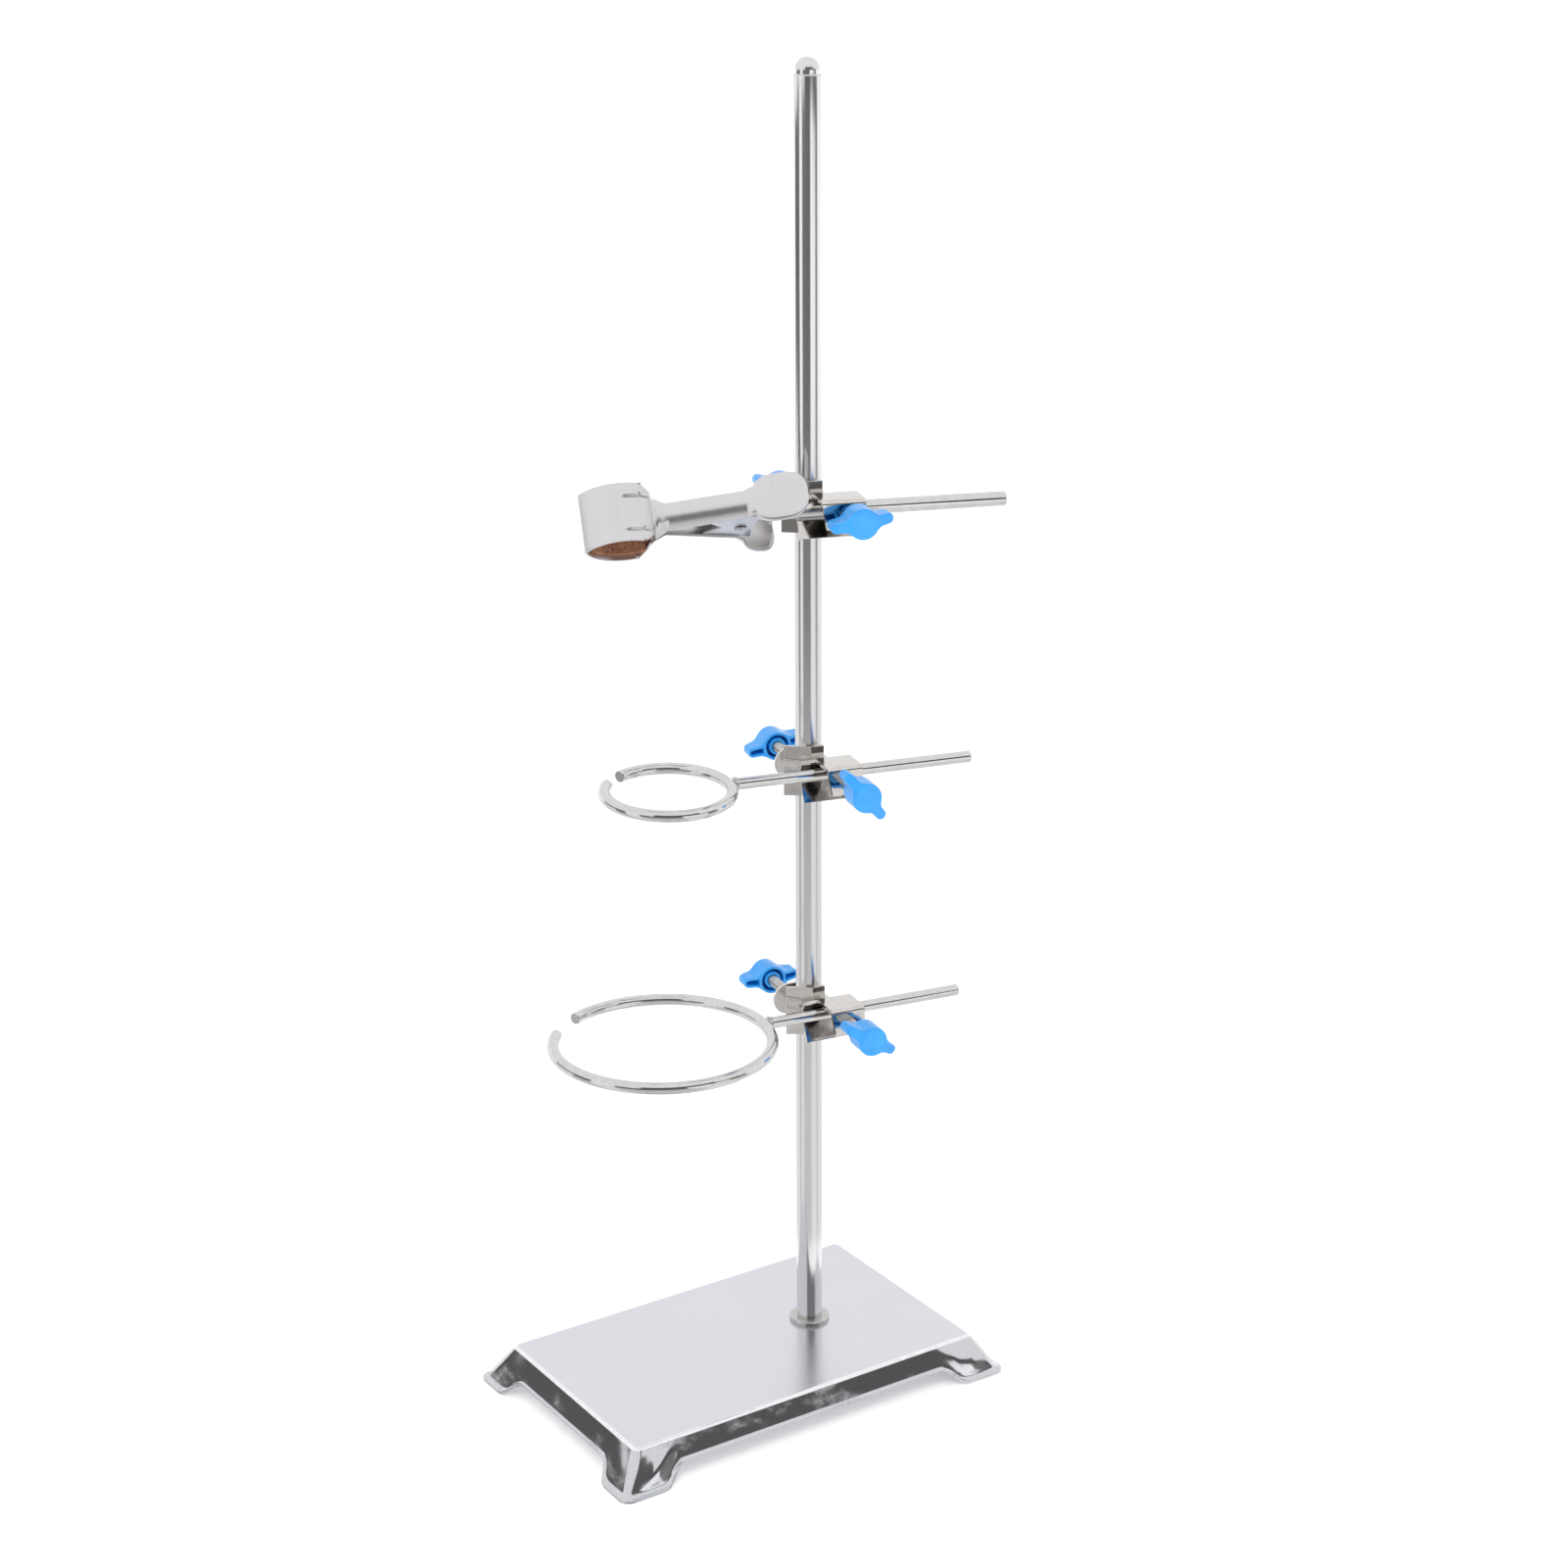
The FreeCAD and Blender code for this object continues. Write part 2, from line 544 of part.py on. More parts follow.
def make_paddle(half_length):
    """Rounded finger plate with its rim turned back."""
    paddle = paddle_face(half_length, 0).extrude(V(0, PADDLE_RIM, 0))
    front = [e for e in paddle.Edges if e.BoundBox.YLength < 0.01
             and abs(e.BoundBox.YMin + NECK_DEPTH) < 0.01]
    paddle = paddle.makeFillet(PADDLE_EDGE, front)
    hollow = paddle_face(half_length, CLAMP_SHEET).extrude(V(0, PADDLE_RIM, 0))
    hollow.translate(V(0, CLAMP_SHEET, 0))
    return paddle.cut(hollow)


def make_ear(level):
    """One ear of the front half: from the neck's open side back round the pin, at the given level."""
    slope = math.tan(math.radians(CLAMP_SPREAD))
    reach = NECK_BACK + EAR_OVERLAP

    def neck_line(x):
        return -reach - (x - NECK_START) * slope

    outline = [V(EAR_LEFT, neck_line(EAR_LEFT), level), V(EAR_LEFT + 3, neck_line(EAR_LEFT) + 3, level),
               V(-EAR_R * 0.7, EAR_R * 0.7, level), V(EAR_R * 0.7, EAR_R * 0.7, level),
               V(EAR_RIGHT, neck_line(EAR_RIGHT) + 5, level), V(EAR_RIGHT, neck_line(EAR_RIGHT), level)]
    plate = Part.Face(Part.makePolygon(outline + outline[:1])).extrude(V(0, 0, EAR_SHEET))
    plate = plate.fuse(Part.makeCylinder(EAR_R, EAR_SHEET, V(0, 0, level)))
    hole = Part.makeCylinder(PIN_D / 2 + THREAD_GAP, EAR_SHEET + 2, V(0, 0, level - 1))
    return plate.cut(hole)


def make_half(side_name):
    """One half of the clamp, as a front half: jaw, flared neck, paddle and two ears, one pressed sheet."""
    level = EAR_LEVEL[side_name]
    neck = neck_solid(0).cut(neck_solid(CLAMP_SHEET))
    neck = neck.fuse(make_paddle(PADDLE_HALF_L[side_name]))
    neck.rotate(V(0, 0, 0), V(0, 0, 1), -CLAMP_SPREAD)
    neck.translate(V(0, NECK_START * math.tan(math.radians(CLAMP_SPREAD)) - NECK_BACK, 0))
    centre, radius = jaw_circle()
    clear = Part.makeCylinder(radius - CLAMP_SHEET / 2, 2 * JAW_HEIGHT, centre + V(0, 0, -JAW_HEIGHT))
    neck = neck.cut(clear)
    half = jaw_shell(0, CLAMP_SHEET, JAW_HEIGHT, 0, 1).fuse(neck)
    for side in (1, -1):
        rib = jaw_shell(-JAW_RIB_OUT, CLAMP_SHEET, JAW_RIB_H, JAW_RIB_FROM, 1)
        rib.translate(V(0, 0, side * JAW_RIB_Z))
        bottom = level if side > 0 else -level - EAR_SHEET
        half = half.fuse([rib, make_ear(bottom)])
    return half


def opposite(shape):
    """Mirror a piece from the front of the clamp to its rear."""
    return shape.mirror(V(0, 0, 0), V(0, 1, 0))


def make_lining():
    return jaw_shell(CLAMP_SHEET, LINING, LINING_HEIGHT, LINING_FROM, LINING_TO)


def make_clamp_rod():
    """Plain rod with a flat tongue round the pin."""
    end = CLAMP_ROD_END - PIN_X
    rod = Part.makeCylinder(ROD_D / 2, end - ROD_TONGUE_FROM, V(ROD_TONGUE_FROM, 0, 0), V(1, 0, 0))
    tip = [e for e in rod.Edges if len(e.Vertexes) == 1 and abs(e.BoundBox.XMin - end) < 0.01]
    rod = rod.makeChamfer(ROD_EASE, tip)
    for base in (ROD_TONGUE_H / 2, -ROD_TONGUE_H / 2 - ROD_D):
        corner = V(ROD_TONGUE_FROM - 1, -ROD_D, base)
        rod = rod.cut(Part.makeBox(ROD_TONGUE_TO - corner.x, 2 * ROD_D, ROD_D, corner))
    return rod.cut(Part.makeCylinder(PIN_D / 2, 2 * ROD_D, V(0, 0, -ROD_D)))


def make_pin():
    top = EAR_LEVEL["front"] + EAR_SHEET + PIN_PLAY
    pin = Part.makeCylinder(PIN_D / 2, 2 * top, V(0, 0, -top))
    for base in (top, -top - PIN_HEAD_H):
        head = Part.makeCylinder(PIN_HEAD_R, PIN_HEAD_H, V(0, 0, base))
        rim = [e for e in head.Edges if len(e.Vertexes) == 1
               and abs(abs(e.BoundBox.ZMin) - top - PIN_HEAD_H) < 0.01]
        pin = pin.fuse(head.makeFillet(PIN_HEAD_ROUND, rim))
    return pin.removeSplitter()


def make_spring():
    """Torsion spring round the pin, over the rod's tongue, with a leg towards each paddle."""
    base = ROD_TONGUE_H / 2 + SPRING_WIRE / 2 + SPRING_PLAY
    pitch = SPRING_WIRE + SPRING_COIL_GAP
    rise = pitch * SPRING_TURNS
    helix = Part.makeHelix(pitch, rise, SPRING_R)
    section = Part.Wire(Part.makeCircle(SPRING_WIRE / 2, V(SPRING_R, 0, 0), V(0, 1, 0)))
    spring = Part.Wire(helix).makePipeShell([section], True, True)
    spring.rotate(V(0, 0, 0), V(0, 0, 1), -90)
    spring.translate(V(0, 0, base))
    for side, z in ((-1, base), (1, base + rise)):
        start = V(0, side * SPRING_R, z)
        end = V(SPRING_LEG.x, side * SPRING_LEG.y, z)
        spring = spring.fuse(cylinder(SPRING_WIRE / 2, start, end))
    return spring


def make_clamp():
    boss = BOSSES["clamp_boss"]
    front = make_half("front")
    rear = opposite(make_half("rear"))
    pieces = {"clamp_rod": make_clamp_rod(), "clamp_front_jaw": front, "clamp_rear_jaw": rear,
              "clamp_front_lining": make_lining(), "clamp_rear_lining": opposite(make_lining()),
              "clamp_pin": make_pin(), "clamp_spring": make_spring()}
    for node, shape in pieces.items():
        shape.translate(V(PIN_X, 0, 0))
        shape.rotate(V(0, 0, 0), V(1, 0, 0), -CLAMP_ROLL)
        shape.translate(V(0, rod_y(boss), 0))
        save(onto_post(shape, boss), node)


def main():
    os.makedirs("parts", exist_ok=True)
    save(make_base(), "base_shell")
    save(make_post(), "post")
    save(make_post_flange(), "post_flange")
    save(make_under_washer(), "under_washer")
    save(make_under_nut(), "under_nut")
    for name, boss in BOSSES.items():
        make_boss(name, boss)
    for name, ring in RINGS.items():
        make_ring(name, ring)
    make_clamp()


main()
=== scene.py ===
import json
import math

import bmesh
import bpy
import numpy as np
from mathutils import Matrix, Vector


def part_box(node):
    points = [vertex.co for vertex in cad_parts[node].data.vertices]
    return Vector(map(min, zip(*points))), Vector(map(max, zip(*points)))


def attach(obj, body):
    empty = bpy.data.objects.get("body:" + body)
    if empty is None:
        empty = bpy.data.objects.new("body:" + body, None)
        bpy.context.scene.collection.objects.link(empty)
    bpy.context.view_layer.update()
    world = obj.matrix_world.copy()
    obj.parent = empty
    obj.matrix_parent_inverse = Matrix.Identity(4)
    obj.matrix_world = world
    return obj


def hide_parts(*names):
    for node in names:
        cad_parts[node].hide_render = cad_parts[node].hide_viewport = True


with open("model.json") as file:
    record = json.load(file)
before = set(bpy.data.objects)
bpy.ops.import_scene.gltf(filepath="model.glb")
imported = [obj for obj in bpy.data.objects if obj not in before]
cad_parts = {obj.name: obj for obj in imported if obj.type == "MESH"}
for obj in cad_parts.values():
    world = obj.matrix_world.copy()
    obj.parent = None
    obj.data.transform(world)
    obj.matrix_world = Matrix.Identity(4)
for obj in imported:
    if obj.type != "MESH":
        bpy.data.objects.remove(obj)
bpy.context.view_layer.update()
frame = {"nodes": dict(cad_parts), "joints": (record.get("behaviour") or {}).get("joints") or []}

import openvdb
from mathutils import Matrix, Vector
from mathutils.geometry import convex_hull_2d

MM = 0.001
MERGE = 0.001 * MM
JOINTS = {joint["name"]: joint for joint in frame["joints"]}
BOSSES = ("clamp_boss", "small_ring_boss", "large_ring_boss")

# ---- the view: turned about the post, in degrees and metres ----
VIEW_AZIMUTH = -33.99
VIEW_ELEVATION = 18.0
VIEW_ROLL = -0.259
VIEW_DISTANCE = 1.3227
VIEW_LENS = 67.86
POST_X = 0.038
VIEW_PIVOT = Vector((POST_X, 0, 0.303))
VIEW_TARGET_Z = 0.2875
VIEW_SIDESTEP = -0.01098

# ---- the studio, in metres ----
FLOOR_SIZE = 60.0
FLOOR_Z = -0.0002
FLOOR_GREY = 0.975
FLOOR_GLOW = 0.22
GLOW_STRENGTH = 1.5
# a card standing round the stand:
# (name, angle right of the camera, half width, distance, low, high, grey)
CARDS = (
    ("ring_low", 180, 180, 2.04, 0.0, 0.38, 1.25),
    ("front_low", -10.5, 33.5, 2.0, 0.0, 0.56, 0.17),
    ("right_low", 76, 10, 2.0, 0.0, 0.56, 0.22),
    ("left_low", -78, 10, 2.0, 0.0, 0.56, 0.15),
    ("front_high", 16, 37, 1.99, 0.55, 1.50, 0.13),
    ("right_skirt", 62, 17, 1.98, 0.40, 0.76, 0.11),
    ("left_skirt", -102, 14, 1.98, 0.05, 0.44, 0.12),
)
# a sector of the floor:
# (name, angle right of the camera, half width, height, (distance, grey) pairs)
FLOOR_CARDS = (
    ("floor_rest", 0, 180, 0.0003,
     ((0.12, 0.97), (0.60, 0.93), (1.02, 1.0), (1.31, 1.02), (1.96, 1.05))),
    ("floor_front", -10.5, 33.5, 0.0004,
     ((0.12, 0.69), (0.30, 0.73), (0.59, 0.62), (1.02, 0.47), (1.31, 0.26), (1.96, 0.18))),
    ("floor_right", 76, 10, 0.0004,
     ((0.12, 0.78), (0.30, 0.78), (0.59, 0.72), (1.02, 0.60), (1.31, 0.35), (1.96, 0.28))),
    ("floor_left", -78, 10, 0.0004,
     ((0.12, 0.74), (0.30, 0.72), (0.59, 0.56), (1.02, 0.36), (1.31, 0.22), (1.96, 0.15))),
    ("floor_side", 56, 9, 0.0004,
     ((1.35, 0.90), (1.60, 0.78), (1.96, 0.78))),
)
KEY_PLACE, KEY_AIM = (-0.9, -1.0, 1.9), (0, 0, 0.25)
KEY_SIZE = 0.9
KEY_POWER = 9.0


# ================================================================ meshes
def linked(name, data):
    """An object made from the data and placed in the scene."""
    made = bpy.data.objects.new(name, data)
    bpy.context.scene.collection.objects.link(made)
    return made


def new_object(name, vertices, faces, material):
    mesh = bpy.data.meshes.new(name)
    mesh.from_pydata([tuple(v) for v in vertices], [], faces)
    mesh.validate()
    piece = linked(name, mesh)
    mesh.materials.append(material)
    for polygon in mesh.polygons:
        polygon.use_smooth = True
    return piece


def outward(mesh):
    """Turn every face of a closed mesh outward."""
    work = bmesh.new()
    work.from_mesh(mesh)
    bmesh.ops.recalc_face_normals(work, faces=work.faces)
    work.to_mesh(mesh)
    work.free()


def sharpen(piece, degrees):
    """Smooth shading, broken where two faces meet at more than the given angle."""
    piece.data.set_sharp_from_angle(angle=math.radians(degrees))


def eased(piece, width, degrees):
    """Round the edges where two faces meet at more than the given angle."""
    ease = piece.modifiers.new("ease", "BEVEL")
    ease.width = width
    ease.segments = 2
    ease.limit_method = "ANGLE"
    ease.angle_limit = math.radians(degrees)
    return ease


def thickened(piece, thickness):
    """Give a surface a sheet's thickness, inward from its face."""
    thicken = piece.modifiers.new("sheet", "SOLIDIFY")
    thicken.thickness = thickness
    thicken.offset = -1


def grid_faces(rows, columns, closed):
    """Quads between the rows of a grid; closed joins the last column to the first."""
    faces = []
    for i in range(rows - 1):
        for j in range(columns if closed else columns - 1):
            k = (j + 1) % columns
            above = (i + 1) * columns
            faces.append((i * columns + j, i * columns + k, above + k, above + j))
    return faces


def bar_faces(rings, around):
    """Quads between closed rings, with a flat cap at each end."""
    faces = grid_faces(rings, around, True)
    faces.append(tuple(range(around)))
    faces.append(tuple(range((rings - 1) * around, rings * around)))
    return faces


def lathe(name, profile, material, place, segments=96, sharp=40):
    """Turn (radius, height) points round Z, from the axis to the axis or in a closed loop."""
    angles = [2 * math.pi * k / segments for k in range(segments)]
    vertices = [place @ Vector((r * math.cos(a), r * math.sin(a), z))
                for r, z in profile for a in angles]
    piece = new_object(name, vertices, grid_faces(len(profile), segments, True), material)
    work = bmesh.new()
    work.from_mesh(piece.data)
    bmesh.ops.remove_doubles(work, verts=work.verts, dist=MERGE)
    bmesh.ops.recalc_face_normals(work, faces=work.faces)
    work.to_mesh(piece.data)
    work.free()
    sharpen(piece, sharp)
    return piece


def arc(centre_r, centre_z, radius, start, end, steps=6):
    """Points of a rounded edge for a lathe profile, in degrees from the outward direction."""
    points = []
    for k in range(steps + 1):
        a = math.radians(start + (end - start) * k / steps)
        points.append((centre_r + radius * math.cos(a), centre_z + radius * math.sin(a)))
    return points


def tube(name, path, radius, material, chamfer, around=28):
    """A round bar along a list of points, with flat ends and a small chamfer."""
    first = path[0].lerp(path[1], chamfer / (path[1] - path[0]).length)
    last = path[-1].lerp(path[-2], chamfer / (path[-2] - path[-1]).length)
    rings = [(path[0], radius - chamfer)]
    rings += [(p, radius) for p in (first, *path[1:-1], last)]
    rings.append((path[-1], radius - chamfer))
    centres = [r[0] for r in rings]
    side = (centres[1] - centres[0]).orthogonal().normalized()
    vertices = []
    for i, (centre, r) in enumerate(rings):
        ahead = (centres[min(i + 1, len(rings) - 1)] - centres[max(i - 1, 0)]).normalized()
        side = (side - ahead * side.dot(ahead)).normalized()
        other = ahead.cross(side)
        for k in range(around):
            a = 2 * math.pi * k / around
            vertices.append(centre + side * (r * math.cos(a)) + other * (r * math.sin(a)))
    piece = new_object(name, vertices, bar_faces(len(rings), around), material)
    outward(piece.data)
    sharpen(piece, 30)
    return piece


def finished_copy(node, material, bevel):
    """The node's own form with its edges eased, standing for it."""
    piece = linked(node + "_finished", frame["nodes"][node].data.copy())
    piece.data.materials.clear()
    piece.data.materials.append(material)
    work = bmesh.new()
    work.from_mesh(piece.data)
    bmesh.ops.remove_doubles(work, verts=work.verts, dist=MERGE)
    bmesh.ops.dissolve_limit(work, angle_limit=math.radians(0.5),
                             verts=work.verts, edges=work.edges)
    for face in work.faces:
        face.smooth = True
    work.to_mesh(piece.data)
    work.free()
    eased(piece, bevel, 35).harden_normals = True
    sharpen(piece, 60)
    return piece


def from_distance(name, distance, low, high, voxel, material):
    """The closed surface where distance(x, y, z), in millimetres, is zero."""
    margin = 3 * voxel
    axes = [np.arange(l - margin, h + margin, voxel) for l, h in zip(low, high)]
    values = distance(*np.meshgrid(*axes, indexing="ij")).astype(np.float32)
    volume = openvdb.FloatGrid(background=margin)
    volume.copyFromArray(np.clip(values, -margin, margin))
    points, quads = volume.convertToQuads()
    points = points * voxel + np.array([a[0] for a in axes])
    piece = new_object(name, points * MM, [tuple(int(i) for i in q) for q in quads], material)
    outward(piece.data)
    return piece


# ================================================================ materials
SMUDGE = 0.05


class Shader:
    """A principled material whose detail comes from noise in the object's own space."""

    def __init__(self, name, **sockets):
        self.material = bpy.data.materials.new(name)
        self.material.use_nodes = True
        self.nodes = self.material.node_tree.nodes
        self.links = self.material.node_tree.links
        self.principled = self.nodes["Principled BSDF"]
        for socket, value in sockets.items():
            self.principled.inputs[socket.replace("_", " ")].default_value = value
        self.space = self.nodes.new("ShaderNodeTexCoord").outputs["Object"]

    def stretched(self, scale, turn=(0, 0, 0)):
        """The object's space, turned and then scaled per axis."""
        turned = self.nodes.new("ShaderNodeVectorRotate")
        turned.rotation_type = "EULER_XYZ"
        turned.inputs["Rotation"].default_value = turn
        self.links.new(self.space, turned.inputs["Vector"])
        mapping = self.nodes.new("ShaderNodeMapping")
        mapping.inputs["Scale"].default_value = scale
        self.links.new(turned.outputs[0], mapping.inputs["Vector"])
        return mapping.outputs[0]

    def noise(self, space, scale=1.0, detail=3.0, roughness=0.5):
        node = self.nodes.new("ShaderNodeTexNoise")
        node.inputs["Scale"].default_value = scale
        node.inputs["Detail"].default_value = detail
        node.inputs["Roughness"].default_value = roughness
        self.links.new(space, node.inputs["Vector"])
        return node.outputs["Fac"]

    def ramp(self, value, stops):
        """Colours or grey levels along a value, as (place, colour) pairs."""
        node = self.nodes.new("ShaderNodeValToRGB")
        elements = node.color_ramp.elements
        while len(elements) < len(stops):
            elements.new(0.5)
        for element, (place, colour) in zip(elements, stops):
            element.position = place
            grey = isinstance(colour, float)
            element.color = (colour, colour, colour, 1) if grey else (*colour, 1)
        self.links.new(value, node.inputs["Fac"])
        return node.outputs["Color"]

    def to(self, output, socket):
        self.links.new(output, self.principled.inputs[socket])

    def blend(self, mask, first, second):
        """first where the mask is 0, second where it is 1, for colours."""
        node = self.nodes.new("ShaderNodeMix")
        node.data_type = "RGBA"
        self.links.new(mask, node.inputs[0])
        self.links.new(first, node.inputs[6])
        self.links.new(second, node.inputs[7])
        return node.outputs[2]

    def bump(self, height, distance):
        node = self.nodes.new("ShaderNodeBump")
        node.inputs["Strength"].default_value = 1.0
        node.inputs["Distance"].default_value = distance
        self.links.new(height, node.inputs["Height"])
        self.to(node.outputs[0], "Normal")


def shade(tint, factor):
    return tuple(c * factor for c in tint)


def brushed_metal(name, streaks, rough, tint, turn=(0, 0, 0), depth=0.0000012, spread=0.10,
                  contrast=1.0):
    """Steel with fine parallel scratches; streaks gives the noise's scale along each axis."""
    shader = Shader(name, Metallic=1.0)
    fine = shader.noise(shader.stretched(streaks, turn), detail=4.0, roughness=0.6)
    cloud = shader.noise(shader.stretched((28, 28, 28)), detail=2.0)
    levels = [(0.25, rough - spread / 2), (0.75, rough + spread / 2)]
    shader.to(shader.ramp(fine, levels), "Roughness")
    darker, lighter = shade(tint, 1 - 0.07 * contrast), shade(tint, 1 + 0.04 * contrast)
    grain = shader.ramp(fine, [(0.3, darker), (0.7, lighter)])
    broad = shader.ramp(cloud, [(0.3, shade(tint, 0.97)), (0.7, tint)])
    half = shader.ramp(cloud, [(0.0, 0.5), (1.0, 0.5)])
    shader.to(shader.blend(half, grain, broad), "Base Color")
    shader.bump(fine, depth)
    return shader.material


def bright_metal(name, rough, tint, waviness):
    """Plated or polished steel: slow waves in the surface and faint handling marks."""
    shader = Shader(name, Metallic=1.0)
    waves = shader.noise(shader.stretched((1, 1, 1)), scale=95.0, detail=1.5)
    marks = shader.noise(shader.stretched((1, 1, 1)), scale=260.0, detail=5.0, roughness=0.65)
    shader.to(shader.ramp(marks, [(0.45, rough), (0.75, rough + SMUDGE)]), "Roughness")
    shader.to(shader.ramp(marks, [(0.35, tint), (0.8, shade(tint, 0.86))]), "Base Color")
    shader.bump(waves, waviness)
    return shader.material


def skirt_metal():
    """The tray's polished sides, with dull patches where it was handled."""
    shader = Shader("tray_side_steel", Metallic=1.0)
    patches = shader.noise(shader.stretched((1, 1, 2)), scale=42.0, detail=6.0, roughness=0.62)
    grain = shader.noise(shader.stretched((1, 1, 1)), scale=900.0, detail=3.0)
    waves = shader.noise(shader.stretched((1, 1, 1)), scale=60.0, detail=1.0)
    shader.to(shader.ramp(patches, [(0.52, 0.10), (0.66, 0.30)]), "Roughness")
    clean = shader.ramp(grain, [(0.3, (0.60, 0.61, 0.63)), (0.7, (0.66, 0.67, 0.69))])
    dull = shader.ramp(grain, [(0.35, (0.40, 0.41, 0.43)), (0.65, (0.74, 0.74, 0.76))])
    mask = shader.ramp(patches, [(0.54, 0.0), (0.68, 0.7)])
    shader.to(shader.blend(mask, clean, dull), "Base Color")
    shader.bump(waves, 0.00006)
    return shader.material


def moulded_plastic():
    shader = Shader("blue_moulded_plastic", IOR=1.49)
    shader.principled.inputs["Coat Weight"].default_value = 0.35
    shader.principled.inputs["Coat Roughness"].default_value = 0.12
    shader.principled.inputs["Subsurface Weight"].default_value = 0.12
    shader.principled.inputs["Subsurface Radius"].default_value = (0.0004, 0.0007, 0.0015)
    grain = shader.noise(shader.stretched((1, 1, 1)), scale=1500.0, detail=3.0)
    flow = shader.noise(shader.stretched((1, 1, 1)), scale=120.0, detail=2.0)
    blues = [(0.3, (0.010, 0.30, 0.80)), (0.7, (0.020, 0.36, 0.88))]
    shader.to(shader.ramp(flow, blues), "Base Color")
    shader.to(shader.ramp(grain, [(0.3, 0.30), (0.7, 0.40)]), "Roughness")
    shader.bump(grain, 0.00001)
    return shader.material


def cork():
    shader = Shader("cork_sheet")
    cells = shader.nodes.new("ShaderNodeTexVoronoi")
    cells.inputs["Scale"].default_value = 900.0
    shader.links.new(shader.space, cells.inputs["Vector"])
    speck = shader.noise(shader.stretched((1, 1, 1)), scale=700.0, detail=5.0, roughness=0.7)
    granules = shader.ramp(cells.outputs["Color"],
                           [(0.2, (0.16, 0.055, 0.028)), (0.8, (0.40, 0.17, 0.085))])
    pits = shader.ramp(speck, [(0.35, (0.10, 0.035, 0.02)), (0.6, (0.42, 0.19, 0.10))])
    even = shader.ramp(speck, [(0.0, 0.45), (1.0, 0.45)])
    shader.to(shader.blend(even, granules, pits), "Base Color")
    shader.to(shader.ramp(speck, [(0.3, 0.75), (0.7, 0.92)]), "Roughness")
    shader.bump(speck, 0.00012)
    return shader.material


JAW_TURN = tuple(Vector(JOINTS["clamp_front_half_open"]["axis"])
                 .rotation_difference(Vector((0, 0, 1))).to_euler("XYZ"))
TRAY_TOP = brushed_metal("tray_top_steel", (5, 900, 900), 0.24, (0.735, 0.72, 0.775),
                         depth=0.0000001, spread=0.04, contrast=0.3)
TRAY_SIDE = skirt_metal()
# the tray's rounded top edge: a much lighter steel than its top and sides, a painted highlight
# along the rim
TRAY_RIM_HIGHLIGHT = bright_metal("tray_rim_painted_highlight", 0.16, (0.93, 0.93, 0.95), 0.00001)
POST_STEEL = brushed_metal("post_steel", (420, 420, 9), 0.17, (0.74, 0.73, 0.74), spread=0.08)
PLATE = bright_metal("nickel_plate", 0.09, (0.70, 0.675, 0.65), 0.00022)
WIRE = bright_metal("polished_wire", 0.09, (0.70, 0.69, 0.685), 0.00002)
FASTENER = bright_metal("machined_steel", 0.20, (0.58, 0.57, 0.56), 0.00002)
JAW_STEEL = brushed_metal("jaw_steel", (480, 480, 5), 0.31, (0.70, 0.69, 0.70), JAW_TURN,
                          depth=0.00000015, spread=0.05, contrast=0.9)
SPRING_STEEL = bright_metal("spring_steel", 0.24, (0.50, 0.49, 0.48), 0.00001)
BLUE = moulded_plastic()
CORK = cork()


# ================================================================ tray and post
TRAY_TOP_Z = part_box("base_shell")[1].z
TOP_HALF = Vector((92.25, 56.0)) * MM
SKIRT_HALF = Vector((103.0, 65.5)) * MM
LIP = 1.9 * MM
LIP_RISE = 1.6 * MM
SHEET = 1.2 * MM
EDGE_ROUND = 2.0 * MM
TOP_CORNER = 3.0 * MM
SKIRT_CORNER = 3.5 * MM
ARCH_Z = 8.3 * MM
ARCH_FROM_CORNER = (27.5 * MM, 24.0 * MM)
FOOT_FROM_CORNER = (20.0 * MM, 17.5 * MM)
FOOT_BULGE = (1.5 * MM, 0.4 * MM)
# the bulge and the dish beside it: (place, width), across in foot widths, down in skirt heights
BULGE_ACROSS = (0.62, 0.42)
DISH_ACROSS = (1.25, 0.22)
DISH_DOWN = (0.55, 0.3)
DISH_DEPTH = 0.5
ACROSS_LIMIT = 1.6
EDGE_TURN = 0.35 * MM
EDGE_TURN_FROM = 0.86
EDGE_TUCK = 0.05 * MM
TOP_MARGIN = 0.6 * MM
HOLE_R = 4.2 * MM
HOLE_MARGIN = 1.2 * MM
HOLE_SIDES = 32


def smoothstep(low, high, value):
    t = min(max((value - low) / (high - low), 0.0), 1.0)
    return t * t * (3 - 2 * t)


def outline(half, corner, sides=(72, 48), turns=9):
    """Points round a rounded rectangle, each with its outward direction."""
    points = []
    cores = half - Vector((corner, corner))
    for quarter in range(4):
        sx, sy = ((1, 1), (-1, 1), (-1, -1), (1, -1))[quarter]
        for k in range(turns):
            a = math.radians(90 * quarter + 90 * k / (turns - 1))
            out = Vector((math.cos(a), math.sin(a)))
            points.append((Vector((sx * cores.x, sy * cores.y)) + out * corner, out))
        long_side = quarter in (0, 2)
        count = sides[0] if long_side else sides[1]
        out = Vector((0, sy)) if long_side else Vector((sx, 0))
        for k in range(1, count):
            t = math.cos(math.pi * k / count)
            if long_side:
                points.append((Vector((sx * cores.x * t, sy * half.y)), out))
            else:
                points.append((Vector((sx * half.x, sy * cores.y * t)), out))
    return points


def footing(point, out):
    """How much of a foot a skirt point is (0 to 1), where across it, and how far it bulges."""
    along = 0 if abs(out.y) > abs(out.x) else 1
    from_corner = SKIRT_HALF[along] - abs(point[along])
    share = 1 - smoothstep(FOOT_FROM_CORNER[along], ARCH_FROM_CORNER[along], from_corner)
    across = min(from_corner / FOOT_FROM_CORNER[along], ACROSS_LIMIT)
    return share, across, FOOT_BULGE[along]


def mound(value, shape):
    """1 at the shape's place, falling off over its width."""
    place, width = shape
    return math.exp(-((value - place) / width) ** 2)


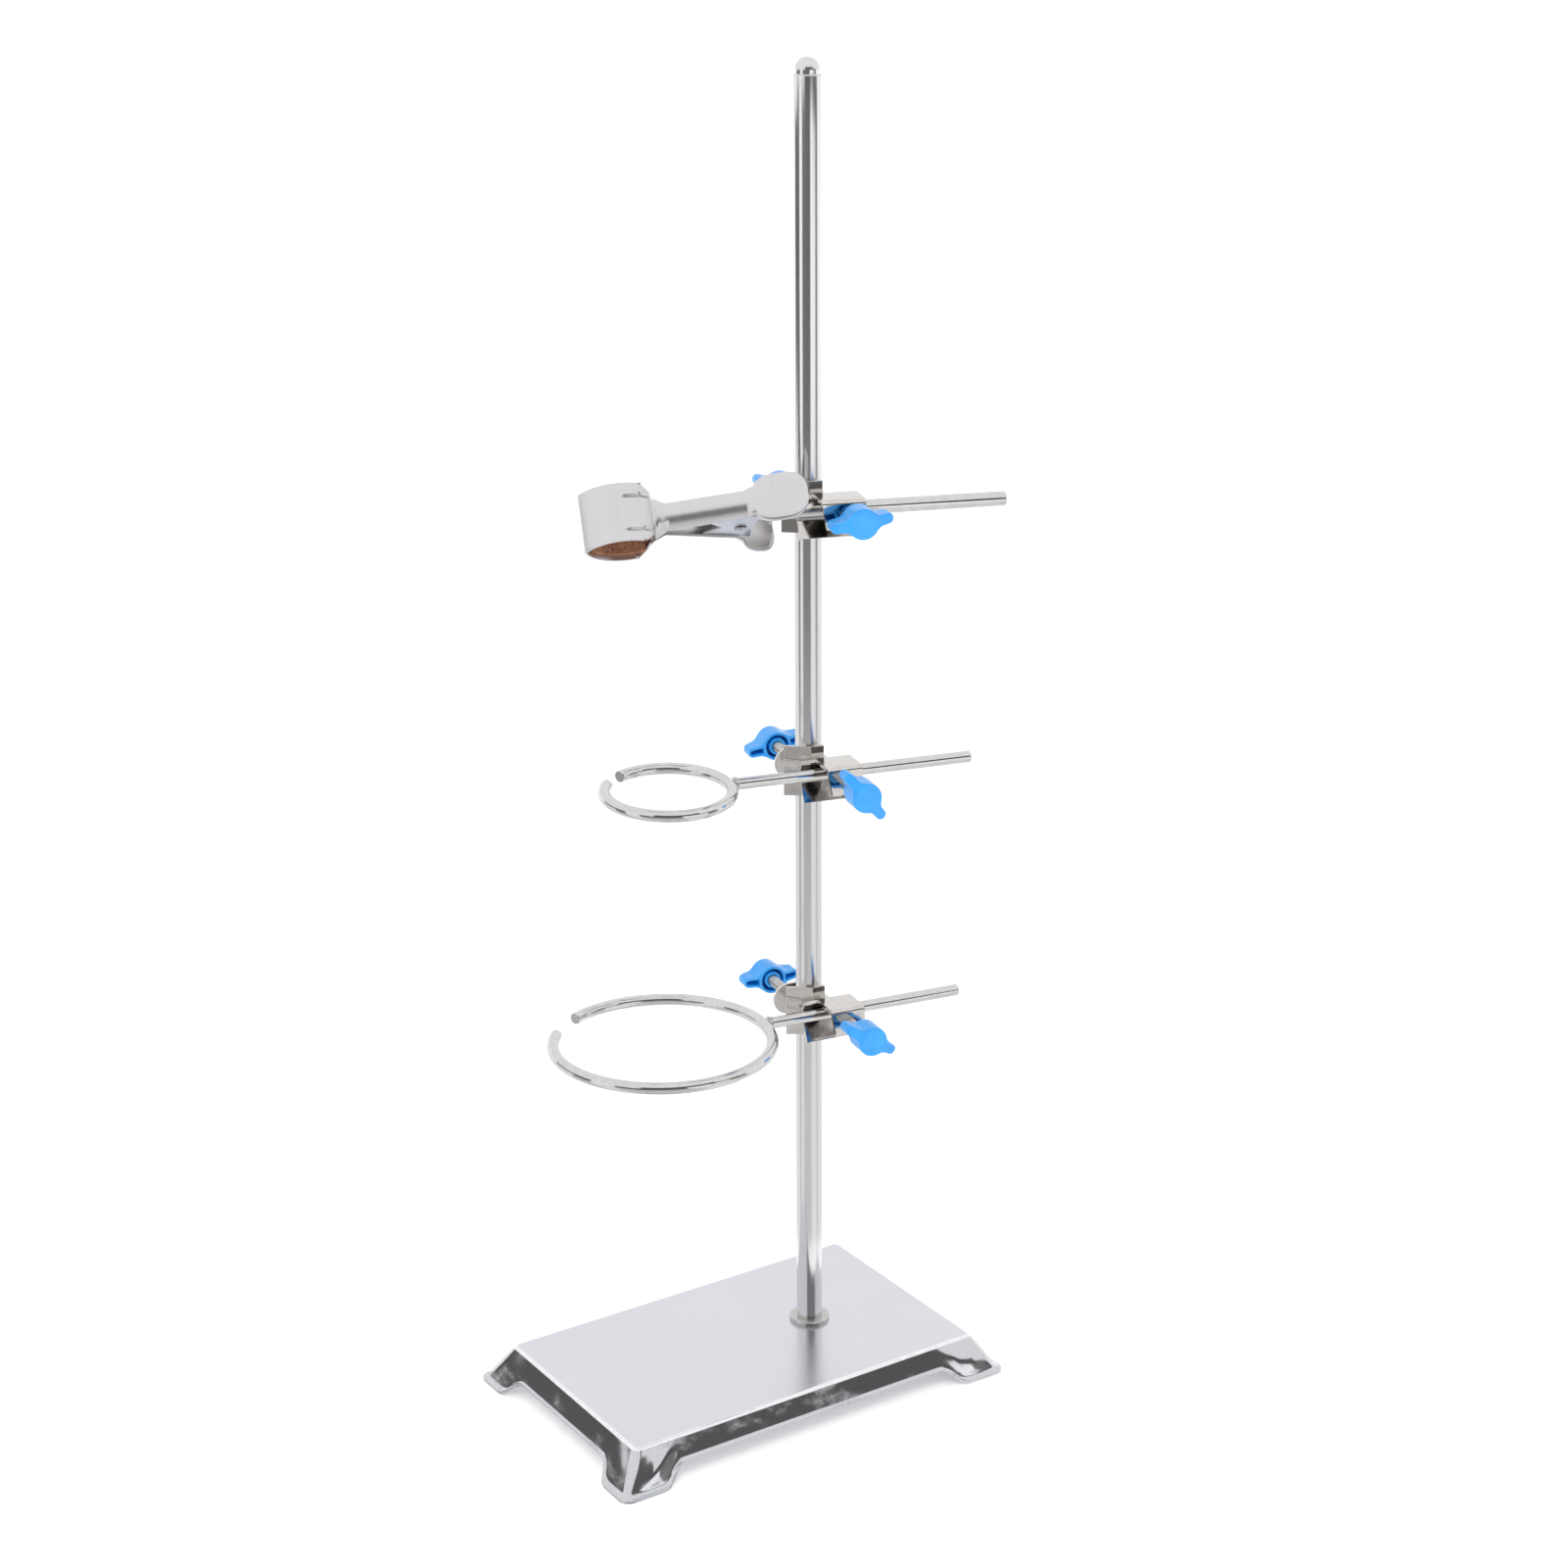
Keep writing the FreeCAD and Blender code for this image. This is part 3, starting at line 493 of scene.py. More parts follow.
def tray():
    """Pressed tray: flat top, leaning skirts, arches between four bulged and turned-out feet."""
    rows = []
    top = outline(TOP_HALF, TOP_CORNER)
    skirt = outline(SKIRT_HALF, SKIRT_CORNER)
    lean = math.atan2(TRAY_TOP_Z, SKIRT_HALF.x - TOP_HALF.x)
    steps_round, steps_skirt, steps_lip = 6, 22, 6
    inset = EDGE_ROUND * math.tan(lean / 2) + TOP_MARGIN
    rows.append([Vector((*(point - out * inset), TRAY_TOP_Z)) for point, out in top])
    for k in range(steps_round + 1):
        turn = lean * k / steps_round
        row = []
        for point, out in top:
            place = point + out * (EDGE_ROUND * (math.sin(turn) - math.tan(lean / 2)))
            row.append(Vector((place.x, place.y, TRAY_TOP_Z - EDGE_ROUND * (1 - math.cos(turn)))))
        rows.append(row)
    start_z = rows[-1][0].z
    for k in range(1, steps_skirt + steps_lip + 1):
        row = []
        for (_, out), (point_low, _), first in zip(top, skirt, rows[steps_round + 1]):
            share, across, bulge = footing(point_low, out)
            bottom = ARCH_Z * (1 - share) + SHEET * share
            if k <= steps_skirt:
                t = k / steps_skirt
                z = start_z + (bottom + share * LIP_RISE - start_z) * t
                flare = (1 - share) * EDGE_TURN * smoothstep(EDGE_TURN_FROM, 1.0, t)
            else:
                t = (k - steps_skirt) / steps_lip
                z = bottom + share * LIP_RISE * (1 - math.sin(t * math.pi / 2))
                z -= (1 - share) * EDGE_TUCK * t
                flare = share * LIP * (1 - math.cos(t * math.pi / 2)) + (1 - share) * EDGE_TURN
            down = (start_z - z) / (start_z - SHEET * share)
            place = Vector((first.x, first.y)).lerp(point_low, down)
            hump = math.sin(math.pi * min(max(down, 0), 1)) * mound(across, BULGE_ACROSS)
            dish = mound(across, DISH_ACROSS) * mound(down, DISH_DOWN)
            place += out * (share * bulge * (hump - DISH_DEPTH * dish) + flare)
            row.append(Vector((place.x, place.y, max(z, 0.0))))
        rows.append(row)
    columns = len(top)
    vertices = [v for row in rows for v in row]
    piece = new_object("tray", vertices, grid_faces(len(rows), columns, True), TRAY_TOP)
    piece.data.materials.append(TRAY_SIDE)
    piece.data.materials.append(TRAY_RIM_HIGHLIGHT)
    # the rounded top edge takes the lighter steel that paints the highlight along the rim
    on_top, on_side, on_rim_highlight = range(3)
    work = bmesh.new()
    work.from_mesh(piece.data)
    work.verts.ensure_lookup_table()
    rim = [work.edges.get((work.verts[i], work.verts[(i + 1) % columns])) for i in range(columns)]
    angles = [2 * math.pi * k / HOLE_SIDES for k in range(HOLE_SIDES)]
    hole, collar = (
        [work.verts.new((POST_X + radius * math.cos(a), radius * math.sin(a), TRAY_TOP_Z))
         for a in angles]
        for radius in (HOLE_R, HOLE_R + HOLE_MARGIN))
    after = [(k + 1) % HOLE_SIDES for k in range(HOLE_SIDES)]
    rim += [work.edges.new((collar[k], collar[n])) for k, n in enumerate(after)]
    filled = bmesh.ops.triangle_fill(work, edges=rim, use_beauty=True, normal=(0, 0, 1))
    for k, n in enumerate(after):
        work.faces.new((hole[k], collar[k], collar[n], hole[n]))
    bmesh.ops.recalc_face_normals(work, faces=work.faces)
    if sum(f.normal.z for f in filled["geom"] if isinstance(f, bmesh.types.BMFace)) < 0:
        bmesh.ops.reverse_faces(work, faces=work.faces)
    for face in work.faces:
        face.smooth = True
        if face.normal.z > 0.999:
            face.material_index = on_top
        elif min(vertex.co.z for vertex in face.verts) > start_z - 0.1 * MM:
            face.material_index = on_rim_highlight
        else:
            face.material_index = on_side
    work.to_mesh(piece.data)
    work.free()
    thickened(piece, SHEET)
    sharpen(piece, 50)
    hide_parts("base_shell")
    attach(piece, "stand")


CHAMFER = 0.2 * MM
ROUNDING = 0.6 * MM
TIP_R, TIP_H, TIP_NECK = 5.2 * MM, 6.0 * MM, 1.0 * MM
TIP_STEPS = 14
TAIL_R = 4.0 * MM
BORE_R = 4.05 * MM


def standing(node, profile, material, name, sharp=40):
    """A turned piece on the post's axis, standing for its node."""
    piece = lathe(name, profile, material, Matrix.Translation((POST_X, 0, 0)), sharp=sharp)
    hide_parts(node)
    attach(piece, "stand")
    return piece


def post():
    low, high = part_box("post")
    r = (high.x - low.x) / 2
    shoulder = high.z - TIP_H - TIP_NECK
    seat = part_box("post_flange")[1].z
    profile = [(0, low.z), (TAIL_R - ROUNDING, low.z), (TAIL_R, low.z + ROUNDING), (TAIL_R, seat)]
    profile += [(r - CHAMFER, seat), (r, seat + CHAMFER)]
    count = 24
    profile += [(r, seat + (shoulder - seat) * k / count) for k in range(1, count)]
    profile += arc(r - ROUNDING, shoulder - ROUNDING, ROUNDING, 0, 80)
    profile += [(TIP_R, shoulder + 0.05 * MM), (TIP_R, shoulder + TIP_NECK)]
    dome = (TIP_R ** 2 + TIP_H ** 2) / (2 * TIP_H)
    for k in range(1, TIP_STEPS + 1):
        z = shoulder + TIP_NECK + TIP_H * math.sin(math.pi / 2 * k / TIP_STEPS)
        profile.append((math.sqrt(max(dome ** 2 - (z - high.z + dome) ** 2, 0.0)), z))
    standing("post", profile, POST_STEEL, "post_turned", sharp=35)


def post_fixings():
    low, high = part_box("post_flange")
    r = (high.x - low.x) / 2
    profile = [(BORE_R, low.z), (r - CHAMFER, low.z), (r, low.z + CHAMFER)]
    profile += arc(r - ROUNDING, high.z - ROUNDING, ROUNDING, 0, 90)
    profile += [(BORE_R, high.z), (BORE_R, low.z)]
    standing("post_flange", profile, FASTENER, "flange_turned")
    low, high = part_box("under_washer")
    r = (high.x - low.x) / 2
    profile = [(BORE_R, low.z), (r - CHAMFER, low.z), (r, low.z + CHAMFER), (r, high.z - CHAMFER),
               (r - CHAMFER, high.z), (BORE_R, high.z), (BORE_R, low.z)]
    standing("under_washer", profile, FASTENER, "under_washer_turned")
    nut = finished_copy("under_nut", FASTENER, CHAMFER)
    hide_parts("under_nut")
    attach(nut, "stand")


tray()
post()
post_fixings()


# ================================================================ bossheads
# screws and knobs in millimetres
PITCH = 0.8
SCREW_R = 2.5
THREAD_DEPTH = 0.22
LEAD_IN, LEAD_DEPTH = 0.6, 0.5
SCREW_ENTERS_KNOB = 8.0
CHANNEL_EASE = 0.22 * MM
KNOB_TURN = {"clamp_boss_post": 20, "small_ring_boss_post": -12, "large_ring_boss_post": -2,
             "clamp_boss_rod": 8, "small_ring_boss_rod": -51, "large_ring_boss_rod": -32}


def heading(boss):
    """How far a bosshead is turned about the post, from its post screw's direction."""
    axis = Vector(JOINTS[boss + "_post_screw_travel"]["axis"])
    return math.atan2(-axis.x, axis.y)


def screw_place(joint, boss, toward):
    """The frame of a screw or knob: +Z along its axis, out of the bosshead."""
    place = Matrix.Translation(JOINTS[joint]["pos_m"]) @ Matrix.Rotation(heading(boss), 4, "Z")
    tilt = Vector((0, 0, 1)).rotation_difference(Vector((0, toward, 0)))
    return place @ tilt.to_matrix().to_4x4()


def threaded(name, length, place):
    """A screw along +Z with a rolled thread, in millimetres."""
    around, per_turn = 20, 8
    rows = int(length / PITCH * per_turn) + 1
    vertices = []
    for i in range(rows):
        z = length * i / (rows - 1)
        ease = min(z, length - z, LEAD_IN) / LEAD_IN
        for k in range(around):
            phase = (z / PITCH - k / around) % 1.0
            r = SCREW_R - THREAD_DEPTH * abs(2 * phase - 1) - LEAD_DEPTH * (1 - ease)
            a = 2 * math.pi * k / around
            vertices.append(place @ (Vector((r * math.cos(a), r * math.sin(a), z)) * MM))
    piece = new_object(name, vertices, bar_faces(rows, around), FASTENER)
    outward(piece.data)
    sharpen(piece, 70)
    return piece


KNOB_BOX = ((-14.2, -7.4, 0), (14.2, 7.4, 12))
KNOB_VOXEL = 0.25
KNOB_HUB_R = 6.75
KNOB_HUB_WALL = 1.3
KNOB_REACH = 11.6
KNOB_WING_R = 2.75
KNOB_TAPER = 0.035
KNOB_WING_WALL = 1.2
KNOB_BLEND = 2.6
KNOB_EDGE = 0.8
KNOB_TOP = 12.0
# the wings' top falls from here outward, and their underside rises over the given length
KNOB_FALL, KNOB_FALL_FROM = 0.30, 5.0
KNOB_LIFT, KNOB_LIFT_FROM, KNOB_LIFT_OVER = 1.6, 6.0, 6.0
KNOB_STEM_R = 3.9
KNOB_SOCKET_R = 2.58
KNOB_POCKET_TOP = 6.0


def smooth_union(a, b, blend):
    h = np.clip(0.5 + 0.5 * (b - a) / blend, 0.0, 1.0)
    return b + (a - b) * h - blend * h * (1 - h)


def knob_outline(x, y):
    """Distance outside the knob's outline: round hub, wings that narrow to round tips."""
    hub = np.hypot(x, y) - KNOB_HUB_R
    wing_r = KNOB_WING_R - KNOB_TAPER * np.abs(x)
    wing = np.hypot(np.maximum(np.abs(x) - KNOB_REACH, 0.0), y) - wing_r
    return smooth_union(hub, wing, KNOB_BLEND)


def knob_distance(x, y, z):
    """Distance outside the knob: eased solid, less the hollows under it and the screw's socket."""
    outer = knob_outline(x, y)
    top = KNOB_TOP - KNOB_FALL * np.maximum(np.abs(x) - KNOB_FALL_FROM, 0.0)
    aside, above = outer + KNOB_EDGE, z - top + KNOB_EDGE
    solid = np.minimum(np.maximum(aside, above), 0.0)
    solid += np.hypot(np.maximum(aside, 0.0), np.maximum(above, 0.0)) - KNOB_EDGE
    lift = KNOB_LIFT * np.clip((np.abs(x) - KNOB_LIFT_FROM) / KNOB_LIFT_OVER, 0.0, 1.0)
    solid = np.maximum(solid, lift - z)
    radius = np.hypot(x, y)
    inside_hub = np.maximum(radius - KNOB_HUB_R + KNOB_HUB_WALL, KNOB_STEM_R - radius)
    inside_wing = np.maximum(outer + KNOB_WING_WALL, KNOB_HUB_R - radius)
    hollows = (np.maximum(inside_hub, z - SCREW_ENTERS_KNOB),
               np.maximum(inside_wing, z - KNOB_POCKET_TOP),
               np.maximum(radius - KNOB_SOCKET_R, z - SCREW_ENTERS_KNOB))
    return np.maximum(solid, -np.minimum(np.minimum(hollows[0], hollows[1]), hollows[2]))


def knob_mesh():
    piece = from_distance("knob_form", knob_distance, *KNOB_BOX, KNOB_VOXEL, BLUE)
    smooth = piece.modifiers.new("smooth", "SMOOTH")
    smooth.factor = 0.5
    smooth.iterations = 3
    thin = piece.modifiers.new("thin", "DECIMATE")
    thin.ratio = 0.35
    bpy.context.view_layer.update()
    graph = bpy.context.evaluated_depsgraph_get()
    final = bpy.data.meshes.new_from_object(piece.evaluated_get(graph))
    bpy.data.objects.remove(piece)
    for polygon in final.polygons:
        polygon.use_smooth = True
    return final


def bosshead(boss, knob_form):
    for channel in ("_post_channel", "_rod_channel"):
        piece = finished_copy(boss + channel, PLATE, CHANNEL_EASE)
        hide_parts(boss + channel)
        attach(piece, boss)
    for which, toward in (("_post", 1), ("_rod", -1)):
        screw_body = boss + which + "_screw"
        knob_body = boss + which + "_knob"
        tip = Vector(JOINTS[screw_body + "_travel"]["pos_m"])
        seat = Vector(JOINTS[knob_body + "_turn"]["pos_m"])
        length = (seat - tip).length / MM + SCREW_ENTERS_KNOB
        screw_at = screw_place(screw_body + "_travel", boss, toward)
        piece = threaded(boss + which + "_threaded", length, screw_at)
        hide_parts(screw_body)
        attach(piece, screw_body)
        knob = linked(boss + which + "_wing_knob", knob_form.copy())
        turn = Matrix.Rotation(math.radians(KNOB_TURN[boss + which]), 4, "Z")
        knob.data.transform(screw_place(knob_body + "_turn", boss, toward) @ turn)
        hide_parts(knob_body)
        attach(knob, knob_body)


KNOB_FORM = knob_mesh()
for name in BOSSES:
    bosshead(name, KNOB_FORM)


# ================================================================ rings
RINGS = {
    "small_ring": {"boss": "small_ring_boss", "reach": 69.8, "radius": 28.1,
                   "roll": 3.4, "end": 73.3},
    "large_ring": {"boss": "large_ring_boss", "reach": 77.3, "radius": 49.1,
                   "roll": 0.2, "end": 70.3},
}
WIRE_R = 2.7
GAP = (34.0, 57.0)
HOOP_STEPS = 150
# a weld bead's profile: (height over the wire, place along the arm)
BEAD = ((-0.1, 1.9), (0.55, 2.2), (0.6, 2.7), (0.35, 3.4), (-0.1, 4.2), (-0.1, 1.9))


def ring(name, facts):
    """Open wire hoop with flat ends, welded to its arm."""
    place = Matrix.Translation(JOINTS[name + "_reach"]["pos_m"])
    place = place @ Matrix.Rotation(heading(facts["boss"]), 4, "Z")
    place = place @ Matrix.Rotation(math.radians(facts["roll"]), 4, "X") @ Matrix.Scale(MM, 4)
    radius, reach = facts["radius"], facts["reach"]
    first, last = 180 - GAP[0], 540 - GAP[1]
    path = []
    for k in range(HOOP_STEPS + 1):
        a = math.radians(first + (last - first) * k / HOOP_STEPS)
        path.append(place @ Vector((radius * math.cos(a) - reach, radius * math.sin(a), 0)))
    hoop = tube(name + "_wire", path, WIRE_R * MM, WIRE, 0.25 * MM)
    weld = radius - reach
    along = [place @ Vector((x, 0, 0)) for x in (weld + 0.4, weld + 6, facts["end"])]
    arm = tube(name + "_bar", along, WIRE_R * MM, WIRE, 0.6 * MM)
    for piece, node in ((hoop, name + "_hoop"), (arm, name + "_arm")):
        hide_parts(node)
        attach(piece, name)
    bead = [(WIRE_R + height, x) for height, x in BEAD]
    weld_place = place @ Matrix.Translation((weld, 0, 0)) @ Matrix.Rotation(math.pi / 2, 4, "Y")
    piece = lathe(name + "_weld", bead, FASTENER, weld_place, segments=40)
    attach(piece, name)


for name, facts in RINGS.items():
    ring(name, facts)


# ================================================================ spring clamp
# Its own frame, in millimetres: pin at the origin along Z, rod towards +X, front half at -Y.
CLAMP_SHEET = 1.0
SPREAD = math.tan(math.radians(15))
JAW_TIP, JAW_CROWN, JAW_ROOT = (-68.5, -0.4), (-51.5, -12.4), (-34.5, -1.9)
JAW_END = (-43.8, -9.1)
JAW_HALF = 13.0
STRIP_HALF = 8.4
NECK_HALF = 6.2
NECK_DEPTH = 5.2
NECK_START, NECK_START_Y = -38.0, -0.6
NECK_SQUARE = 2.0
FLARE = 1.45
# stretches of X over which the section changes from the jaw's to the neck's
FLARE_OVER = (NECK_START, -31.5)
CROWN_OVER = (-39.6, -37.2)
STRIP_OVER = (-44.5, -36.5)
NARROW_OVER = (-39.5, -37.6)
FOLD_OVER = (-39.2, -37.3)
ROUNDED_DEPTH = 1.5
PADDLE_START = 3.0
PADDLE_SETTLES = 2.5
PADDLE_LENGTH = {"front": 22.8, "rear": 16.0}
PADDLE_HALF = 10.5
PADDLE_POWER = 2.9
PADDLE_SQUARE = 9.0
RIM = 2.4
RIB_Z = 7.5
RIB_H = 0.7
RIB_WIDTH = 0.75
RIB_RISE, RIB_FALL = (-53.0, -50.5), (-40.5, -39.0)
EAR_LEVEL = {"front": 5.3, "rear": 4.15}
EAR_SHEET = 0.9
EAR_R = 4.6
EAR_LEFT = -15.0
EAR_RIGHT = 7.0
EAR_OVERLAP = 1.0
PIN_R = 1.5
PIN_GAP = 0.06
PIN_HEAD_R = 2.7
PIN_HEAD_H = 1.0
SPRING_R = 3.2
SPRING_WIRE = 0.8
SPRING_TURNS = 1.5
SPRING_PITCH = 0.86
SPRING_BASE = 1.85
SPRING_STEPS = 44
LEG_NEAR, LEG_FAR = (3.0, 5.4), (9.0, 9.5)


def clamp_place():
    pin = JOINTS["clamp_front_half_open"]
    rod = Vector(JOINTS["clamp_rod_roll"]["axis"])
    up = Vector(pin["axis"])
    axes = Matrix((rod, up.cross(rod), up)).transposed().to_4x4()
    return Matrix.Translation(pin["pos_m"]) @ axes @ Matrix.Scale(MM, 4)


CLAMP = clamp_place()
MIRROR = Matrix.Scale(-1, 4, (0, 1, 0))


def jaw_arc():
    """Centre and radius of the jaw's outer face, through its tip, crown and root."""
    (ax, ay), (bx, by), (cx, cy) = JAW_TIP, JAW_CROWN, JAW_ROOT
    a, b, c = ax ** 2 + ay ** 2, bx ** 2 + by ** 2, cx ** 2 + cy ** 2
    d = 2 * (ax * (by - cy) + bx * (cy - ay) + cx * (ay - by))
    x = (a * (by - cy) + b * (cy - ay) + c * (ay - by)) / d
    y = (a * (cx - bx) + b * (ax - cx) + c * (bx - ax)) / d
    return x, y, math.hypot(ax - x, ay - y)


ARC_X, ARC_Y, ARC_R = jaw_arc()


def neck_open_side(x):
    return NECK_START_Y - (x - NECK_START) * SPREAD


def blend(stretch, x, before, after):
    return before + (after - before) * smoothstep(*stretch, x)


def half_section(x, side):
    """Crown's Y, half height, depth of the turned-back edges and squareness of the section at x."""
    length = PADDLE_LENGTH[side]
    centre = PADDLE_START + length / 2
    y = ARC_Y - math.sqrt(max(ARC_R ** 2 - (x - ARC_X) ** 2, 0.0))
    crown = neck_open_side(x) - NECK_DEPTH / math.cos(math.atan(SPREAD))
    flare = 1 + (FLARE - 1) * (1 - smoothstep(*FLARE_OVER, x))
    crown -= NECK_DEPTH * (flare - 1)
    y = blend(CROWN_OVER, x, y, crown)
    half = blend(STRIP_OVER, x, JAW_HALF, STRIP_HALF)
    half = blend(NARROW_OVER, x, half, NECK_HALF * flare)
    depth = blend(FOLD_OVER, x, 0.0, NECK_DEPTH * flare)
    square = NECK_SQUARE
    if x > 0.0:
        t = smoothstep(0.0, PADDLE_START + PADDLE_SETTLES, x)
        u = min(max(abs(x - centre) / (length / 2), 0.0), 1.0)
        oval = PADDLE_HALF * (1 - u ** PADDLE_POWER) ** (1 / PADDLE_POWER)
        half = max(NECK_HALF, oval) if x < centre else oval
        depth = NECK_DEPTH + (RIM - NECK_DEPTH) * t
        square = NECK_SQUARE + (PADDLE_SQUARE - NECK_SQUARE) * t
    return y, half, depth, square


def half_stations(side):
    """Places along the half, closer together where its section changes quickly."""
    end = PADDLE_START + PADDLE_LENGTH[side]
    places = []
    arc_first = math.atan2(JAW_TIP[1] - ARC_Y, JAW_TIP[0] - ARC_X) % (2 * math.pi)
    arc_last = math.atan2(JAW_END[1] - ARC_Y, JAW_END[0] - ARC_X) % (2 * math.pi)
    for k in range(40):
        places.append(ARC_X + ARC_R * math.cos(arc_first + (arc_last - arc_first) * k / 40))
    for low, high, step in ((JAW_END[0], -30.8, 0.22), (-30.8, 0.0, 1.2), (0.0, 6.0, 0.3)):
        places += [float(x) for x in np.arange(low, high, step)]
    places += [6.0 + (end - 0.02 - 6.0) * math.sin(math.pi / 2 * k / 34) for k in range(35)]
    return places


def half_sheet(side, turn):
    """Jaw, flared neck and finger plate as one pressed sheet."""
    across = 49
    rows = []
    for x in half_stations(side):
        y, half, depth, square = half_section(x, side)
        row = []
        for k in range(across):
            v = 2 * k / (across - 1) - 1
            a = v * math.pi / 2
            power = 2 / square
            rounded = smoothstep(0.0, ROUNDED_DEPTH, depth)
            z_round = half * math.copysign(abs(math.sin(a)) ** power, a)
            z = half * v + (z_round - half * v) * rounded
            back = depth * (1 - abs(math.cos(a)) ** power)
            ends = smoothstep(*RIB_RISE, x) * (1 - smoothstep(*RIB_FALL, x))
            ribs = mound(z, (RIB_Z, RIB_WIDTH)) + mound(z, (-RIB_Z, RIB_WIDTH))
            rib = RIB_H * ends * ribs
            row.append(turn @ Vector((x, y + back - rib, z)))
        rows.append(row)
    vertices = [CLAMP @ v for row in rows for v in row]
    faces = grid_faces(len(rows), across, False)
    piece = new_object("clamp_" + side + "_sheet", vertices, faces, JAW_STEEL)
    crown = CLAMP.to_3x3() @ (turn.to_3x3() @ Vector((0, -1, 0)))
    if sum((p.normal for p in piece.data.polygons), Vector()).dot(crown) < 0:
        piece.data.flip_normals()
    thickened(piece, CLAMP_SHEET * MM)
    eased(piece, 0.22 * MM, 50)
    sharpen(piece, 60)
    return piece


def round_points(radius, count):
    angles = np.linspace(0, 2 * math.pi, count + 1)[:-1]
    return [Vector((radius * math.cos(a), radius * math.sin(a))) for a in angles]


def ear(name, level, turn):
    """A flat ear from the neck's open side back round the pin, with the pin's hole."""
    reach = [(x, neck_open_side(x) - EAR_OVERLAP) for x in (EAR_LEFT, EAR_RIGHT)]
    disc = round_points(EAR_R, 48)
    corners = [Vector(p) for p in reach] + disc
    outer = [corners[i] for i in convex_hull_2d(corners)]
    hole = round_points(PIN_R + PIN_GAP, 32)
    work = bmesh.new()
    edges = []
    for loop in (outer, hole):
        made = [work.verts.new(CLAMP @ (turn @ Vector((p.x, p.y, level)))) for p in loop]
        edges += [work.edges.new(pair) for pair in zip(made, made[1:] + made[:1])]
    axis = (CLAMP.to_3x3() @ Vector((0, 0, 1))).normalized()
    bmesh.ops.triangle_fill(work, edges=edges, use_beauty=True, normal=axis)
    extruded = bmesh.ops.extrude_face_region(work, geom=work.faces[:])
    moved = [v for v in extruded["geom"] if isinstance(v, bmesh.types.BMVert)]
    bmesh.ops.translate(work, verts=moved, vec=axis * EAR_SHEET * MM)
    bmesh.ops.recalc_face_normals(work, faces=work.faces)
    mesh = bpy.data.meshes.new(name)
    work.to_mesh(mesh)
    work.free()
    piece = linked(name, mesh)
    mesh.materials.append(JAW_STEEL)
    eased(piece, 0.15 * MM, 30)
    return piece


def clamp_half(side):
    body = "clamp_" + side + "_half"
    turn = Matrix.Identity(4) if side == "front" else MIRROR
    sheet = half_sheet(side, turn)
    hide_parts("clamp_" + side + "_jaw")
    pieces = [sheet]
    for end, level in (("upper", EAR_LEVEL[side]), ("lower", -EAR_LEVEL[side] - EAR_SHEET)):
        pieces.append(ear("clamp_" + side + "_ear_" + end, level, turn))
    for piece in pieces:
        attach(piece, body)
    lining = finished_copy("clamp_" + side + "_lining", CORK, 0.35 * MM)
    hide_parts("clamp_" + side + "_lining")
    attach(lining, body)


def clamp_pin():
    top = EAR_LEVEL["front"] + EAR_SHEET + 0.2
    crown = arc(PIN_HEAD_R - 0.6, top + PIN_HEAD_H - 0.6, 0.6, 0, 90)
    upper = [(PIN_HEAD_R - 0.1, top), (PIN_HEAD_R, top + 0.1)] + crown + [(0, top + PIN_HEAD_H)]
    profile = [(r, -z) for r, z in reversed(upper)] + [(PIN_R, -top), (PIN_R, top)] + upper
    piece = lathe("clamp_pin_turned", profile, FASTENER, CLAMP, segments=48)
    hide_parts("clamp_pin")
    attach(piece, "clamp_rod")


def clamp_spring():
    """Torsion spring: a coil round the pin with a leg into each finger plate's neck."""
    top = SPRING_BASE + SPRING_PITCH * SPRING_TURNS
    path = [Vector((x, -y, SPRING_BASE)) for x, y in (LEG_FAR, LEG_NEAR)]
    for k in range(SPRING_STEPS + 1):
        t = k / SPRING_STEPS
        a = math.radians(-90 - 360 * SPRING_TURNS * t)
        z = SPRING_BASE + (top - SPRING_BASE) * t
        path.append(Vector((SPRING_R * math.cos(a), SPRING_R * math.sin(a), z)))
    path += [Vector((x, y, top)) for x, y in (LEG_NEAR, LEG_FAR)]
    piece = tube("clamp_spring_wire", [CLAMP @ p for p in path], SPRING_WIRE / 2 * MM,
                 SPRING_STEEL, 0.1 * MM, around=14)
    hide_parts("clamp_spring")
    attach(piece, "clamp_rod")


def clamp_bar():
    piece = finished_copy("clamp_rod", WIRE, 0.3 * MM)
    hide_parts("clamp_rod")
    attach(piece, "clamp_rod")


for half_name in ("front", "rear"):
    clamp_half(half_name)
clamp_pin()
clamp_spring()
clamp_bar()


